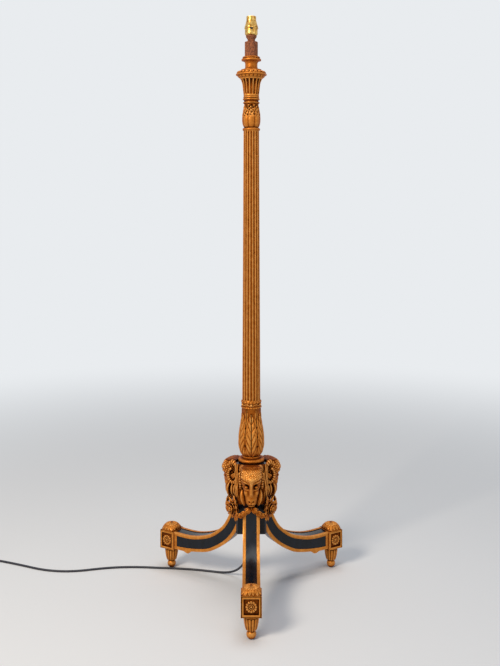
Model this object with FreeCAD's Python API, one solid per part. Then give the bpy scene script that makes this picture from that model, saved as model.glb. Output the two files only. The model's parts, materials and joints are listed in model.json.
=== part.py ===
import FreeCAD, Part
import math
import os

from FreeCAD import Vector

# Candlestick floor lamp. Millimetres, +Z up, origin on the floor under the column's axis.
# The front leg points along -Y. Profiles are written as (distance from the axis, height).

# Overall sizes
lamp_height = 1597.0
foot_circle = 272.0
directions = {"front": -90.0, "left": 150.0, "right": 30.0}
between = {"back": 90.0, "left": 210.0, "right": 330.0}

# Heights of the joints in the stack of turned pieces
hub_bottom = 160.0
hub_top = 354.5
baluster_bottom = 373.0
crown_bottom = 505.0
shaft_bottom = 525.0
shaft_top = 1277.0
cup_bottom = 1285.0
collar_bottom = 1354.0
trumpet_bottom = 1374.0
pan_bottom = 1425.0
socket_bottom = 1448.0
sleeve_bottom = 1484.0
sleeve_top = 1526.0
cap_bottom = 1543.0

# Conduit, its nuts and the bores that it passes
conduit_radius = 5.0
conduit_wall = 1.0
conduit_bottom = 150.0
conduit_top = 1550.0
column_bore = 5.6
nut_width = 17.0
nut_height = 5.0
washer_radius = 11.0
washer_thick = 1.6
inner_flex_radius = 2.9

# Lampholder, a standard 22 mm bayonet
barrel_radius = 13.7
barrel_bore = 11.2
barrel_relief = 11.8
relief_top = 1586.0
thread_root = 13.2
thread_top = 1584.0
cap_radius = 17.9
cap_bead = 19.8
cap_wall = 1.5
cap_top = 1566.0
slot_width = 2.6
ring_radius = 18.7
ring_bore = 13.9
ring_bottom = 1566.3
ring_top = 1583.0
insulator_shelf = 1556.5
insulator_ledge = 1564.0
insulator_top = 1581.5
plunger_spacing = 9.0
plunger_radius = 2.0
plunger_tip_radius = 1.6
plunger_shoulder = 1579.2
plunger_bottom = 1573.0
plunger_tip = 1585.0
plunger_hole_bottom = 1567.0
spring_wire = 0.5
spring_turns = 4
push_bar_height = 1561.0
push_bar_section = (5.6, 3.8)
push_bar_travel = 6.0

# Column
shaft_flutes = 18
shaft_radii = (25.2, 21.8)
flute_depth = 2.2
trumpet_flutes = 16
pan_gadroons = 20
crown_pearls = 6

# Hub
leg_flat = 27.0
rose_flat = 46.0
horn_thick = 5.6
horn_spread = 30.0
rose_height = 231.0
rose_petals = 8

# Legs, blocks and feet
leg_width = 46.0
gilt_thick = 1.5
gilt_band = 8.5
block_inner = 248.0
block_outer = 295.0
block_width = 52.0
block_bottom = 61.0
block_top = 114.0
recess_depth = 3.0
recess_height = 37.0
rosette_radius = 15.5
rosette_petals = 12
foot_reeds = 14
ball_radius = 12.2
ball_top = 20.0
dowel_radius = 5.0
hub_dowel_heights = (190.0, 214.0)
block_dowel_height = 90.0
foot_dowel_radius = 4.0

# Flex, its coil and the plug. The route is in the order in which the flex runs.
flex_diameter = 6.0
flex_exit = 122.0
flex_route = [
    (0, 0, 122), (-1, 3, 103), (-7, 14, 84), (-18, 31, 64), (-32, 49, 43), (-49, 66, 24),
    (-70, 80, 10), (-96, 91, 3), (-128, 100, 3), (-163, 108, 3), (-199, 113, 3), (-236, 118, 3),
    (-270, 120, 3), (-317, 125, 3), (-365, 126, 3), (-411, 122, 3), (-457, 112, 3),
    (-500, 100, 3), (-546, 96, 3), (-594, 103, 3), (-630, 115, 3), (-673, 135, 3),
    (-713, 152, 3), (-750, 167, 3), (-789, 177.08, 3), (-819, 177.85, 3),
]
coil_centre = (-825.0, 219.0)
coil_outer = 41.0
coil_pitch = 6.6
coil_turns = 5.25
coil_tail = 42.0
plug_width = 50.0
plug_length = 55.0
plug_cover_height = 14.0
plug_height = 24.0


def outline(start, *steps):
    """A closed wire of (radius, height) points: a point ends a straight edge, a pair of points is
    an arc through the first to the second, and a list is a smooth curve through its points."""
    def place(p):
        return Vector(p[0], 0, p[1])

    here, edges = start, []
    for step in steps + (start,):
        if isinstance(step, list):
            curve = Part.BSplineCurve()
            curve.interpolate([place(p) for p in [here] + step])
            edges.append(curve.toShape())
            here = step[-1]
        elif isinstance(step[0], tuple):
            edges.append(Part.Arc(place(here), place(step[0]), place(step[1])).toShape())
            here = step[1]
        elif step != here:
            edges.append(Part.makeLine(place(here), place(step)))
            here = step
    return Part.Wire(edges)


def turned(start, *steps):
    return Part.Face(outline(start, *steps)).revolve(Vector(), Vector(0, 0, 1), 360)


def round_top(radius, low, top):
    """The last steps of an outline: part of a ball centred on the axis, with a tiny flat on top."""
    flat = 0.4
    ball = (radius ** 2 + (top - low) ** 2) / (2 * (top - low))
    first, last = math.asin(min(1.0, radius / ball)), math.asin(flat / ball)
    half = (first + last) / 2
    centre = top - ball
    level = centre + ball * math.cos(last)
    return ((ball * math.sin(half), centre + ball * math.cos(half)), (flat, level)), (0, level)


def plate(wire, low, high):
    """A flat outline in the plane of a leg, made solid between two distances to its side."""
    face = Part.Face(wire)
    face.translate(Vector(0, low, 0))
    return face.extrude(Vector(0, high - low, 0))


def cylinder(radius, low, high, x=0.0, y=0.0):
    return Part.makeCylinder(radius, high - low, Vector(x, y, low))


def tube(outer, inner, low, high):
    return cylinder(outer, low, high).cut(cylinder(inner, low - 1, high + 1))


def box(low, high):
    size = [b - a for a, b in zip(low, high)]
    return Part.makeBox(*size, Vector(*low))


def turn_to(shape, degrees):
    """A piece modelled along +X, carried round to its own direction."""
    copy = shape.copy()
    copy.rotate(Vector(), Vector(0, 0, 1), degrees)
    return copy


def around(radius, degrees, height=0.0):
    a = math.radians(degrees)
    return Vector(radius * math.cos(a), radius * math.sin(a), height)


def lobed(count, radius, depth, height, land=0.0):
    """A closed ring of arcs. A positive depth gives hollow flutes with lands between them, and a
    negative depth gives rounded reeds that meet in grooves. The first one is at the front."""
    step = 360.0 / count
    half = 0.5 * step * (1 - land)
    edge_radius = radius if depth > 0 else radius + depth
    middle_radius = radius - depth if depth > 0 else radius
    edges = []
    for i in range(count):
        a = -90 + i * step
        start, end = around(edge_radius, a - half, height), around(edge_radius, a + half, height)
        edges.append(Part.Arc(start, around(middle_radius, a, height), end).toShape())
        if land:
            following = around(edge_radius, a + step - half, height)
            edges.append(Part.makeLine(end, following))
    return Part.Wire(edges)


def bored(solid, radius=column_bore):
    extent = solid.BoundBox
    return solid.cut(cylinder(radius, extent.ZMin - 1, extent.ZMax + 1))


# Lampholder

def lampholder_barrel():
    flange = 16.2
    barrel = turned(
        (barrel_relief, insulator_ledge), (flange, insulator_ledge), (flange, cap_top),
        (thread_root, cap_top), (thread_root, thread_top), (barrel_radius, thread_top + 0.5),
        (barrel_radius, lamp_height - 0.6), (barrel_radius - 0.6, lamp_height),
        (barrel_bore + 0.4, lamp_height), (barrel_bore, lamp_height - 0.4), (barrel_bore, relief_top),
        (barrel_relief, relief_top))
    barrel = turn_to(barrel, 45)
    slot_end = lamp_height - 9.0
    upright = box((-20, -slot_width / 2, slot_end - slot_width), (20, slot_width / 2, lamp_height + 1))
    barrel = barrel.cut(upright)
    for side in (0, 180):
        foot = box((8, -slot_width / 2, slot_end - slot_width), (20, 5.2, slot_end))
        catch = box((8, 2.6, slot_end - slot_width), (20, 5.2, slot_end + 1.4))
        barrel = barrel.cut(turn_to(foot.fuse(catch), side))
    return barrel


def shade_ring():
    ring = turned(
        (ring_bore, ring_bottom), (ring_radius, ring_bottom), (ring_radius, ring_bottom + 2.4),
        ((ring_radius - 2.0, ring_bottom + 8.0), (ring_radius - 3.6, ring_top - 2.0)),
        (ring_radius - 4.0, ring_top), (ring_bore, ring_top))
    return ring


def push_bar_window(clearance_x, clearance_z, reach):
    half = push_bar_section[0] / 2 + clearance_x, push_bar_section[1] / 2 + clearance_z
    return box((-half[0], -reach, push_bar_height - half[1]), (half[0], reach, push_bar_height + half[1]))


def lampholder_cap():
    inner = 15.0
    wide = cap_radius - cap_wall
    cap = turned(
        (conduit_radius, cap_bottom), (12.5, cap_bottom),
        ((16.2, cap_bottom + 1.6), (cap_radius, cap_bottom + 5)), (cap_radius, cap_top - 5),
        ((cap_bead, cap_top - 2.5), (cap_radius, cap_top)), (wide, cap_top),
        (wide, insulator_shelf), (inner, insulator_shelf), (inner, cap_bottom + 7),
        (11, cap_bottom + 3), (conduit_radius, cap_bottom + 3))
    return cap.cut(push_bar_window(1.4, 0.9, 30))


def lampholder_insulator():
    rim, core = 16.2, 10.9
    top = turned((0, insulator_shelf), (rim, insulator_shelf), (rim, insulator_ledge),
                 (core, insulator_ledge), (core, insulator_top), (0, insulator_top))
    for side in (-1, 1):
        y = side * plunger_spacing / 2
        top = top.cut(cylinder(plunger_radius + 0.1, plunger_hole_bottom, plunger_shoulder + 0.3, 0, y))
        top = top.cut(cylinder(plunger_tip_radius + 0.1, insulator_shelf, insulator_top + 1, 0, y)
                      .common(cylinder(8, plunger_hole_bottom, insulator_top + 1)))
        top = top.cut(cylinder(1.5, insulator_shelf - 1, 1562, side * 9.0, 0))
    return top.cut(push_bar_window(0.3, 0.2, 30))


def contact_plunger(side):
    y = side * plunger_spacing / 2
    tip = turned(
        (0, plunger_bottom), (plunger_radius, plunger_bottom), (plunger_radius, plunger_shoulder),
        (plunger_tip_radius, plunger_shoulder), (plunger_tip_radius, plunger_tip - 0.8),
        *round_top(plunger_tip_radius, plunger_tip - 0.8, plunger_tip))
    tip.translate(Vector(0, y, 0))
    return tip


def terminal_screws():
    screws = []
    for x in (-9.0, 9.0):
        head = cylinder(2.8, insulator_shelf - 3.1, insulator_shelf, x)
        slot = box((x - 3, -0.4, insulator_shelf - 3.2), (x + 3, 0.4, insulator_shelf - 2.2))
        screws.append(head.cut(slot).fuse(cylinder(1.5, insulator_shelf, 1561, x)).removeSplitter())
    return Part.makeCompound(screws)


def switch_push_bar():
    half = push_bar_section[0] / 2, push_bar_section[1] / 2
    front, back = -cap_bead - 0.6, cap_bead + 0.6 + push_bar_travel
    bar = box((-half[0], front, push_bar_height - half[1]), (half[0], back, push_bar_height + half[1]))
    return bar.makeFillet(0.8, [e for e in bar.Edges if abs(e.CenterOfMass.y - front) < 0.01
                                or abs(e.CenterOfMass.y - back) < 0.01])


def neck_bush():
    inside, waist, flare = 11.4, 10.4, 15.0
    return turned((conduit_radius, 1496), (inside, 1496), (inside, sleeve_top + 1.5), (waist, sleeve_top + 3),
                  (waist, sleeve_top + 6), ((waist + 1.6, sleeve_top + 9), (flare, sleeve_top + 13)),
                  (flare, cap_bottom), (conduit_radius, cap_bottom))


def candle_sleeve():
    outer, inner = 18.3, 11.6
    return turned((inner, sleeve_bottom), (outer, sleeve_bottom), (outer, sleeve_top - 2.4),
                  ((outer - 0.6, sleeve_top - 0.7), (outer - 2.2, sleeve_top)), (inner, sleeve_top))


# Turned pieces of the column, from the top down

def candle_socket():
    return turned(
        (column_bore, socket_bottom), (25, socket_bottom), ((19.4, 1450.6), (17.2, 1456)),
        (17.2, 1464), ((19.8, 1470), (27.4, 1473)), (27.4, 1477.5), (23.2, 1479),
        ((24.6, 1481.5), (23, sleeve_bottom)), (column_bore, sleeve_bottom))


def drip_pan():
    pan = turned(
        (column_bore, pan_bottom), (34, pan_bottom), ((37.5, 1427.5), (38.5, 1432)),
        (42.4, 1433), ((43.4, 1435), (42.4, 1437)), (33, 1441), ((30, 1445), (29, socket_bottom)),
        (column_bore, socket_bottom))
    for i in range(pan_gadroons):
        lobe = Part.makeSphere(5.2, around(36.8, -90 + i * 360 / pan_gadroons, 1438.2))
        pan = pan.fuse(lobe)
    return pan


def trumpet():
    radii = [(1374.0, 21.4), (1380.0, 22.0), (1392.0, 23.5), (1408.0, 25.4), (1415.0, 27.4),
             (1420.0, 29.0)]
    rings = [lobed(trumpet_flutes, r, 2.0, z, land=0.28) for z, r in radii]
    fluted = Part.makeLoft(rings, True, True)
    head = turned((0, 1420), (29.4, 1420), ((31.2, 1421.8), (33.6, pan_bottom)), (0, pan_bottom))
    return bored(fluted.fuse(head))


def upper_collar():
    return turned(
        (column_bore, collar_bottom), (23.4, collar_bottom), (23.4, 1356.4), (21, 1357.4),
        ((20.2, 1360), (21, 1362.6)), (23.6, 1363.8), (23.6, 1366.4), (21, 1367.4),
        ((22.4, 1370.4), (21, trumpet_bottom)), (column_bore, trumpet_bottom))


def acanthus_cup():
    return turned(
        (column_bore, cup_bottom), (20.5, cup_bottom),
        [(21.4, 1289), (24.4, 1297), (25.6, 1309), (24.8, 1321), (23.0, 1334), (21.2, 1346), (22.2, 1354)],
        (column_bore, collar_bottom))


def cup_ring():
    return turned((column_bore, shaft_top), (22, shaft_top), ((24.6, 1281), (22, cup_bottom)),
                  (column_bore, cup_bottom))


def fluted_shaft():
    low, high = shaft_radii
    rings = [lobed(shaft_flutes, r, flute_depth, z, land=0.3)
             for z, r in ((shaft_bottom + 6, low - 0.1), (shaft_top - 6, high + 0.1))]
    shaft = Part.makeLoft(rings, True, True)
    for z0, z1, r in ((shaft_bottom, shaft_bottom + 6, low), (shaft_top - 6, shaft_top, high)):
        shaft = shaft.fuse(cylinder(r, z0, z1))
    return bored(shaft)


def pearl_crown():
    band = turned(
        (column_bore, crown_bottom), (26.5, crown_bottom), ((28.8, 508), (27, 511)),
        (26.4, 517), ((28.8, 520.5), (27, 524)), (25.4, shaft_bottom), (column_bore, shaft_bottom))
    for i in range(crown_pearls):
        pearl = Part.makeSphere(3.2, around(27, -90 + i * 360 / crown_pearls, 514))
        band = band.fuse(pearl)
    return band


def acanthus_baluster():
    return turned(
        (column_bore, baluster_bottom), (23.4, baluster_bottom),
        [(27, 377), (31.6, 383), (35.4, 395), (37.0, 413), (35.2, 435), (31.8, 456), (28.2, 477),
         (27.0, 499), (27.4, crown_bottom)],
        (column_bore, crown_bottom))


def base_ring():
    return turned(
        (column_bore, hub_top), (32.5, hub_top), ((36.4, 360), (32.5, 365.5)), (25.6, 366),
        ((26.4, 369), (24, baluster_bottom)), (column_bore, baluster_bottom))


# Hub and its carvings

def three_sided(apothem, degrees, low, high):
    corners = [around(2 * apothem, degrees + 180 + 120 * i, low) for i in range(3)]
    face = Part.Face(Part.makePolygon(corners + corners[:1]))
    return face.extrude(Vector(0, 0, high - low))


def hub_core():
    core = three_sided(leg_flat, directions["front"], hub_bottom, hub_top)
    core = core.common(three_sided(rose_flat, between["back"], hub_bottom, hub_top))
    core = bored(core).cut(cylinder(13, hub_bottom - 1, hub_bottom + 12))
    for degrees in directions.values():
        for z in hub_dowel_heights:
            hole = Part.makeCylinder(dowel_radius, leg_flat, Vector(14, 0, z), Vector(1, 0, 0))
            core = core.cut(turn_to(hole, degrees))
    return core


def ellipse(x, z, half_depth, half_width):
    """An ellipse lying flat at a height, with its longer axis first as the curve needs it."""
    centre, up = Vector(x, 0, z), Vector(0, 0, 1)
    along = Vector(1, 0, 0) if half_depth > half_width else Vector(0, 1, 0)
    long, short = max(half_depth, half_width), min(half_depth, half_width)
    curve = Part.Ellipse(centre, long, short)
    edge = curve.toShape()
    if along.y:
        edge.rotate(centre, up, 90)
    return Part.Wire([edge])


def ram_head():
    """Forehead, nose and muzzle down the front, a horn curled round each ear, and a block at the
    back that is let into the hub. The rows are (depth out, height, half depth, half width)."""
    rows = [(55, 356, 14, 18), (57, 350, 19.5, 25), (58, 341, 25, 28), (58.5, 328, 27.5, 29),
            (59, 312, 26, 27), (61, 295, 22.5, 21), (63, 278, 19.5, 17), (64.5, 263, 16, 14.5),
            (65, 254, 12, 11), (65, 250, 8, 8)]
    head = Part.makeLoft([ellipse(*row) for row in rows], True, False)
    head = head.fuse(box((leg_flat, -20, 262), (58, 20, hub_top - 5)))
    for side in (-1, 1):
        out = side * horn_spread
        root, over, back = Vector(68, side * 22, 341), Vector(50, out - side, 347), Vector(35, out, 322)
        under, tip = Vector(43, out, 298), Vector(62, side * 26, 289)
        horn = Part.makeSphere(horn_thick, back).fuse(Part.makeSphere(horn_thick, tip))
        for edge in (Part.Arc(root, over, back).toShape(), Part.Arc(back, under, tip).toShape()):
            start = edge.valueAt(edge.FirstParameter)
            ring = Part.Circle(start, edge.tangentAt(edge.FirstParameter), horn_thick).toShape()
            horn = horn.fuse(Part.Wire([edge]).makePipeShell([Part.Wire([ring])], True, False))
        ear = Part.makeCone(6.0, 2.0, 18, Vector(50, side * 23, 324), Vector(-0.2, side * 0.6, -0.7))
        head = head.fuse(horn).fuse(ear)
    return head


def flower_cluster():
    """A round rose with a raised heart, over leaves that spread up, down and to both sides."""
    stem = Part.makeCylinder(13, 12, Vector(rose_flat, 0, rose_height), Vector(1, 0, 0))
    petals = lobed(rose_petals, 22.5, -3.5, 0)
    rose = Part.Face(petals).extrude(Vector(0, 0, 9))
    heart = Part.makeSphere(9).common(box((-10, -10, 0), (10, 10, 10)))
    heart.translate(Vector(0, 0, 8))
    rose = rose.fuse(heart)
    rose.rotate(Vector(), Vector(0, 1, 0), 90)
    rose.translate(Vector(rose_flat + 12, 0, rose_height))
    cluster = stem.fuse(rose)
    for tilt in (-52, -18, 18, 52, 128, 162, 198, 232):
        length, half = (36, 7) if abs(math.cos(math.radians(tilt))) > 0.9 else (29, 6)
        leaf = outline((0, 4), ((-half, length * 0.5), (0, length)), ((half, length * 0.5), (0, 4)))
        leaf = plate(leaf, -2.5, 2.5)
        leaf.rotate(Vector(), Vector(0, 1, 0), tilt)
        leaf.rotate(Vector(), Vector(0, 0, 1), 90)
        leaf.translate(Vector(rose_flat + 9.5, 0, rose_height))
        cluster = cluster.fuse(leaf)
    return cluster


def husk_swag(cutters):
    """A rope of husks from one flower cluster, under the chin of a head, to the next cluster."""
    strand = 4.6
    chin, cluster = Vector(63, 0, 243), around(58, 52, 223)
    halves = []
    for side in (-1, 1):
        end = Vector(cluster.x, side * cluster.y, cluster.z)
        low = Vector(65, side * 24, 221)
        path = Part.Wire([Part.Arc(chin, low, end).toShape()])
        ring = Part.Wire([Part.Circle(chin, path.Edges[0].tangentAt(path.Edges[0].FirstParameter),
                                      strand).toShape()])
        halves.append(path.makePipeShell([ring], True, False))
    knot = Part.makeSphere(6.4, chin)
    swag = knot.fuse(halves[0]).fuse(halves[1])
    for cutter in cutters:
        swag = swag.cut(cutter)
    return max(swag.Solids, key=lambda s: s.Volume)


# Legs, blocks and feet

leg_upper = [(248, 114), (206, 113), (175, 116), (142, 124.5), (120, 134), (99, 148.5), (82, 164),
             (71, 179), (60, 200), (52, 225)]
leg_lower = [(186, 70), (158, 74.5), (131, 81), (110, 91), (88, 104.5), (67, 120.6), (46, 141),
             (33, 158), (27, 170)]
leg_toe = [(248, 65.8), (219.5, 65.6)]
leg_scroll = ((207, 61.6), (197, 62.4))
leg_step = (189.5, 66.4)
leg_inner_top = 240.0


def shifted(points, distance):
    """The same run of points moved sideways, to the right of the way they run."""
    moved = []
    for i, p in enumerate(points):
        a, b = points[max(i - 1, 0)], points[min(i + 1, len(points) - 1)]
        run = math.hypot(b[0] - a[0], b[1] - a[1])
        moved.append((p[0] + (b[1] - a[1]) / run * distance, p[1] - (b[0] - a[0]) / run * distance))
    return moved


def on_block(points):
    """The first point is set back on the block's inner face."""
    return [(block_inner, points[0][1])] + points[1:]


def ebonised_leg():
    top = on_block(shifted(leg_upper, -gilt_thick))
    side = outline(top[0], top[1:], (top[-1][0] - 5, leg_inner_top), (leg_flat, leg_inner_top),
                   leg_lower[-1], leg_lower[-2::-1], leg_step, leg_scroll[1],
                   (leg_scroll[0], leg_toe[1]), leg_toe[0])
    half = leg_width / 2 - gilt_thick
    leg = plate(side, -half, half)
    for z in hub_dowel_heights:
        leg = leg.cut(Part.makeCylinder(dowel_radius, 16, Vector(leg_flat - 1, 0, z), Vector(1, 0, 0)))
    return leg.cut(Part.makeCylinder(dowel_radius, 16, Vector(block_inner - 15, 0, block_dowel_height),
                                        Vector(1, 0, 0)))


def leg_gilding():
    """The raised gilt edges: a band along the top and the bottom of both sides, a bar across the
    outer end, and a fillet along both edges of the top."""
    half = leg_width / 2
    lowered = on_block(shifted(leg_upper, -gilt_thick))
    inset = on_block(shifted(leg_upper, -gilt_band))
    upper_band = outline(leg_upper[0], leg_upper[1:], inset[-1], inset[-2::-1])
    top_fillet = outline(leg_upper[0], leg_upper[1:], lowered[-1], lowered[-2::-1])
    raised = shifted(leg_lower, gilt_band)
    lower_band = outline(leg_lower[0], leg_lower[1:], (leg_flat, raised[-1][1] + 6), raised[-2::-1],
                         (206, 76), (block_inner, 76), leg_toe[0], leg_toe[1],
                         leg_scroll, leg_step)
    end_bar = outline((238, 70), (block_inner, 70), (block_inner, 110), (238, 110))
    pieces = []
    for side in (-1, 1):
        low, high = sorted((side * (half - gilt_thick), side * half))
        rail = plate(upper_band, low, high).fuse(plate(lower_band, low, high)).fuse(plate(end_bar, low, high))
        low, high = sorted((side * (half - gilt_band), side * (half - gilt_thick)))
        pieces.append(rail.fuse(plate(top_fillet, low, high)).removeSplitter())
    return Part.makeCompound(pieces)


def corner_block():
    half = block_width / 2
    middle, height = (block_inner + block_outer) / 2, (block_bottom + block_top) / 2
    block = box((block_inner, -half, block_bottom), (block_outer, half, block_top))
    low, high = height - recess_height / 2, height + recess_height / 2
    block = block.cut(box((block_outer - recess_depth, -recess_height / 2, low),
                          (block_outer + 1, recess_height / 2, high)))
    for side in (-1, 1):
        near, far = sorted((side * (half - recess_depth), side * (half + 1)))
        block = block.cut(box((middle - 17, near, low), (middle + 17, far, high)))
    block = block.cut(cylinder(foot_dowel_radius, block_bottom - 1, block_bottom + 15, foot_circle))
    return block.cut(Part.makeCylinder(dowel_radius, 16, Vector(block_inner - 1, 0, block_dowel_height),
                                       Vector(1, 0, 0)))


def rosette():
    """A round flower, lying flat, with its back on the plane of zero height."""
    flower = Part.Face(lobed(rosette_petals, rosette_radius, -2.2, 0)).extrude(Vector(0, 0, 1.6))
    inner = Part.Face(lobed(rosette_petals, rosette_radius - 4, -1.4, 1.6)).extrude(Vector(0, 0, 1.2))
    bead = Part.makeSphere(3.6, Vector(0, 0, 0)).common(box((-6, -6, 1), (6, 6, 7)))
    return flower.fuse(inner).fuse(bead)


def block_rosettes():
    """All nine rosettes, three to a block: one on its outer face and one on each side."""
    flowers = []
    height, half = (block_bottom + block_top) / 2, block_width / 2 - recess_depth
    middle = (block_inner + block_outer) / 2
    for degrees in directions.values():
        for axis, angle, place in ((Vector(0, 1, 0), 90, Vector(block_outer - recess_depth, 0, height)),
                                   (Vector(1, 0, 0), 90, Vector(middle, -half, height)),
                                   (Vector(1, 0, 0), -90, Vector(middle, half, height))):
            flower = rosette()
            flower.rotate(Vector(), axis, angle)
            flower.translate(place)
            flowers.append(turn_to(flower, degrees))
    return Part.makeCompound(flowers)


def dome_cap():
    """An ogee cap whose foot spreads to the four corners of its block."""
    corner, margin = 33.0, 0.8
    dome = turned((0, block_top), (corner, block_top), (corner, block_top + 0.8),
                  ((26, 117.2), (21, 122.6)), ((14.5, 127.6), (4, 129.8)), *round_top(4, 129.8, 132))
    dome.translate(Vector(foot_circle, 0, 0))
    half = block_width / 2 - margin
    return dome.common(box((block_inner + margin, -half, block_top), (block_outer - margin, half, 140)))


def reeded_foot():
    rows = [(block_bottom - 5, 17.4), (50.0, 17.0), (40.0, 15.9), (30.0, 14.2), (22.5, 12.0)]
    reeds = Part.makeLoft([lobed(foot_reeds, r, -1.6, z) for z, r in rows], True, True)
    collar = turned((0, block_bottom - 5), (18.4, block_bottom - 5), ((20.4, 58.5), (18.4, block_bottom)),
                    (0, block_bottom))
    flat = 4.5
    ball = turned((0, 0), (flat, 0), ((ball_radius, 10.4), (8.2, ball_top)), (11.4, 22.6), (0, 22.6))
    foot = reeds.fuse(collar).fuse(ball)
    foot.translate(Vector(foot_circle, 0, 0))
    return foot.cut(cylinder(foot_dowel_radius, 46, block_bottom + 1, foot_circle))


def leg_dowels():
    pins = []
    for degrees in directions.values():
        places = [(leg_flat - 12, z) for z in hub_dowel_heights] + [(block_inner - 14, block_dowel_height)]
        for x, z in places:
            pin = Part.makeCylinder(dowel_radius, 26, Vector(x, 0, z), Vector(1, 0, 0))
            pins.append(turn_to(pin, degrees))
    return Part.makeCompound(pins)


def foot_dowels():
    return Part.makeCompound([
        turn_to(cylinder(foot_dowel_radius, 47, block_bottom + 14, foot_circle), degrees)
        for degrees in directions.values()])


# Conduit, its fixings and the wiring

washer_levels = (sleeve_bottom, hub_bottom + 12 - washer_thick)
nut_levels = (sleeve_bottom + washer_thick, hub_bottom + 12 - washer_thick - nut_height)


def conduit_nuts():
    nuts = []
    for low in nut_levels:
        corners = [around(nut_width / math.sqrt(3), 60 * i, low) for i in range(6)]
        blank = Part.Face(Part.makePolygon(corners + corners[:1])).extrude(Vector(0, 0, nut_height))
        nuts.append(blank.cut(cylinder(conduit_radius, low - 1, low + nut_height + 1)))
    return Part.makeCompound(nuts)


def conduit_washers():
    return Part.makeCompound([tube(washer_radius, conduit_radius + 0.2, z, z + washer_thick)
                              for z in washer_levels])


def strain_relief():
    """A bell mouth on the end of the conduit, tapering to the flex over forty millimetres."""
    inner = flex_diameter / 2
    return turned(
        (inner, flex_exit), (inner + 1.3, flex_exit), (inner + 3.4, conduit_bottom - 4),
        (8.2, conduit_bottom), (8.2, conduit_bottom + 12), (conduit_radius, conduit_bottom + 12),
        (conduit_radius, conduit_bottom), (inner, conduit_bottom))


def middle_of_turn(start, corner, end):
    """The middle point of the arc that leaves start towards corner and arrives at end from it."""
    weight = math.cos(0.5 * (corner - start).getAngle(end - corner))
    return (start + corner * (2 * weight) + end) * (1 / (2 + 2 * weight))


def swept(edges, diameter):
    spine = Part.Wire(edges)
    first = edges[0]
    start = first.valueAt(first.FirstParameter)
    ring = Part.Circle(start, first.tangentAt(first.FirstParameter), diameter / 2).toShape()
    solid = spine.makePipeShell([Part.Wire([ring])], True, False)
    expected = math.pi * diameter ** 2 / 4 * spine.Length
    print("tube length %.1f mm, volume over section times length %.4f"
          % (spine.Length, solid.Volume / expected))
    return solid


def flex_cord():
    """Straight runs joined by tangent arcs, each as large as its two runs allow."""
    points = [Vector(*p) for p in flex_route]
    edges, here, radii = [], points[0], []
    for before, corner, after in zip(points, points[1:], points[2:]):
        into, out = corner - before, after - corner
        turn = into.getAngle(out)
        reach = 0.45 * min(into.Length, out.Length)
        radii.append(reach / math.tan(turn / 2))
        start = corner - into.normalize() * reach
        end = corner + out.normalize() * reach
        edges.append(Part.LineSegment(here, start).toShape())
        edges.append(Part.Arc(start, middle_of_turn(start, corner, end), end).toShape())
        here = end
    edges.append(Part.LineSegment(here, points[-1]).toShape())
    print("flex arc radii in diameters:", [round(r / flex_diameter, 1) for r in radii])
    return swept(edges, flex_diameter)


def biarc(p0, t0, p1, t1):
    """Two arcs that join two points with the given unit directions."""
    v, t = p1 - p0, t0 + t1
    a, b, c = 2 * (1 - t0.dot(t1)), 2 * v.dot(t), -v.dot(v)
    d = (-b + math.sqrt(b * b - 4 * a * c)) / (2 * a) if a > 1e-9 else -c / b
    q0, q1 = p0 + t0 * d, p1 - t1 * d
    joint = (q0 + q1) * 0.5
    return [Part.Arc(p0, middle_of_turn(p0, q0, joint), joint).toShape(),
            Part.Arc(joint, middle_of_turn(joint, q1, p1), p1).toShape()]


def wound(place, total, quarter):
    """Biarcs of a quarter turn along a winding, whose place is a function of the angle wound."""
    count = int(round(total / quarter))
    edges = []
    small = 1e-4
    angles = [quarter * i for i in range(count + 1)]
    points = [place(a) for a in angles]
    ways = [(place(a + small) - place(a - small)).normalize() for a in angles]
    for i in range(count):
        edges += biarc(points[i], ways[i], points[i + 1], ways[i + 1])
    return edges, points, ways


def least_gap(place, total, diameter):
    """The smallest distance between two points of a winding that are over half a turn apart."""
    step = math.pi / 24
    points = [place(step * i) for i in range(int(total / step) + 1)]
    apart = 30
    nearest = min((p - q).Length for i, p in enumerate(points) for q in points[i + apart:])
    return nearest - diameter


coil_total = 2 * math.pi * coil_turns


def coil_place(angle):
    """Winds in on the floor, climbs one layer in the half turn at the middle, and winds out."""
    middle = coil_total / 2
    radius = coil_outer - coil_pitch * (middle - abs(middle - angle)) / (2 * math.pi)
    climb = min(max((angle - middle) / math.pi + 0.5, 0.0), 1.0)
    rise = coil_pitch * climb * climb * (3 - 2 * climb)
    a = -math.pi / 2 - angle
    return Vector(coil_centre[0] + radius * math.cos(a), coil_centre[1] + radius * math.sin(a),
                  flex_diameter / 2 + rise)


def flex_coil():
    edges, points, ways = wound(coil_place, coil_total, math.pi / 2)
    lead, tail = points[0] - ways[0] * flex_diameter, points[-1] + ways[-1] * coil_tail
    edges = [Part.LineSegment(lead, points[0]).toShape()] + edges
    edges.append(Part.LineSegment(points[-1], tail).toShape())
    print("coil turns %.2f, least gap to itself %.2f mm" % (
        coil_turns, least_gap(coil_place, coil_total, flex_diameter)))
    print("coil starts at %s and ends at %s going %s" % (lead, tail, ways[-1]))
    return swept(edges, flex_diameter)


def plunger_spring(side):
    """An open coil spring between the bottom of its hole and the plunger."""
    low, high = plunger_hole_bottom + spring_wire / 2 + 0.05, plunger_bottom - spring_wire / 2 - 0.05
    total = 2 * math.pi * spring_turns
    radius = 1.55

    def place(angle):
        return Vector(radius * math.cos(angle), side * plunger_spacing / 2 + radius * math.sin(angle),
                      low + (high - low) * angle / total)

    edges, _, _ = wound(place, total, math.pi / 2)
    print("spring turns %d, least gap to itself %.2f mm"
          % (spring_turns, least_gap(place, total, spring_wire)))
    return swept(edges, spring_wire)


def plug_places():
    end, way = coil_place(coil_total), coil_place(coil_total) - coil_place(coil_total - 1e-4)
    way.normalize()
    return end + way * coil_tail, math.degrees(math.atan2(way.y, way.x))


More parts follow.
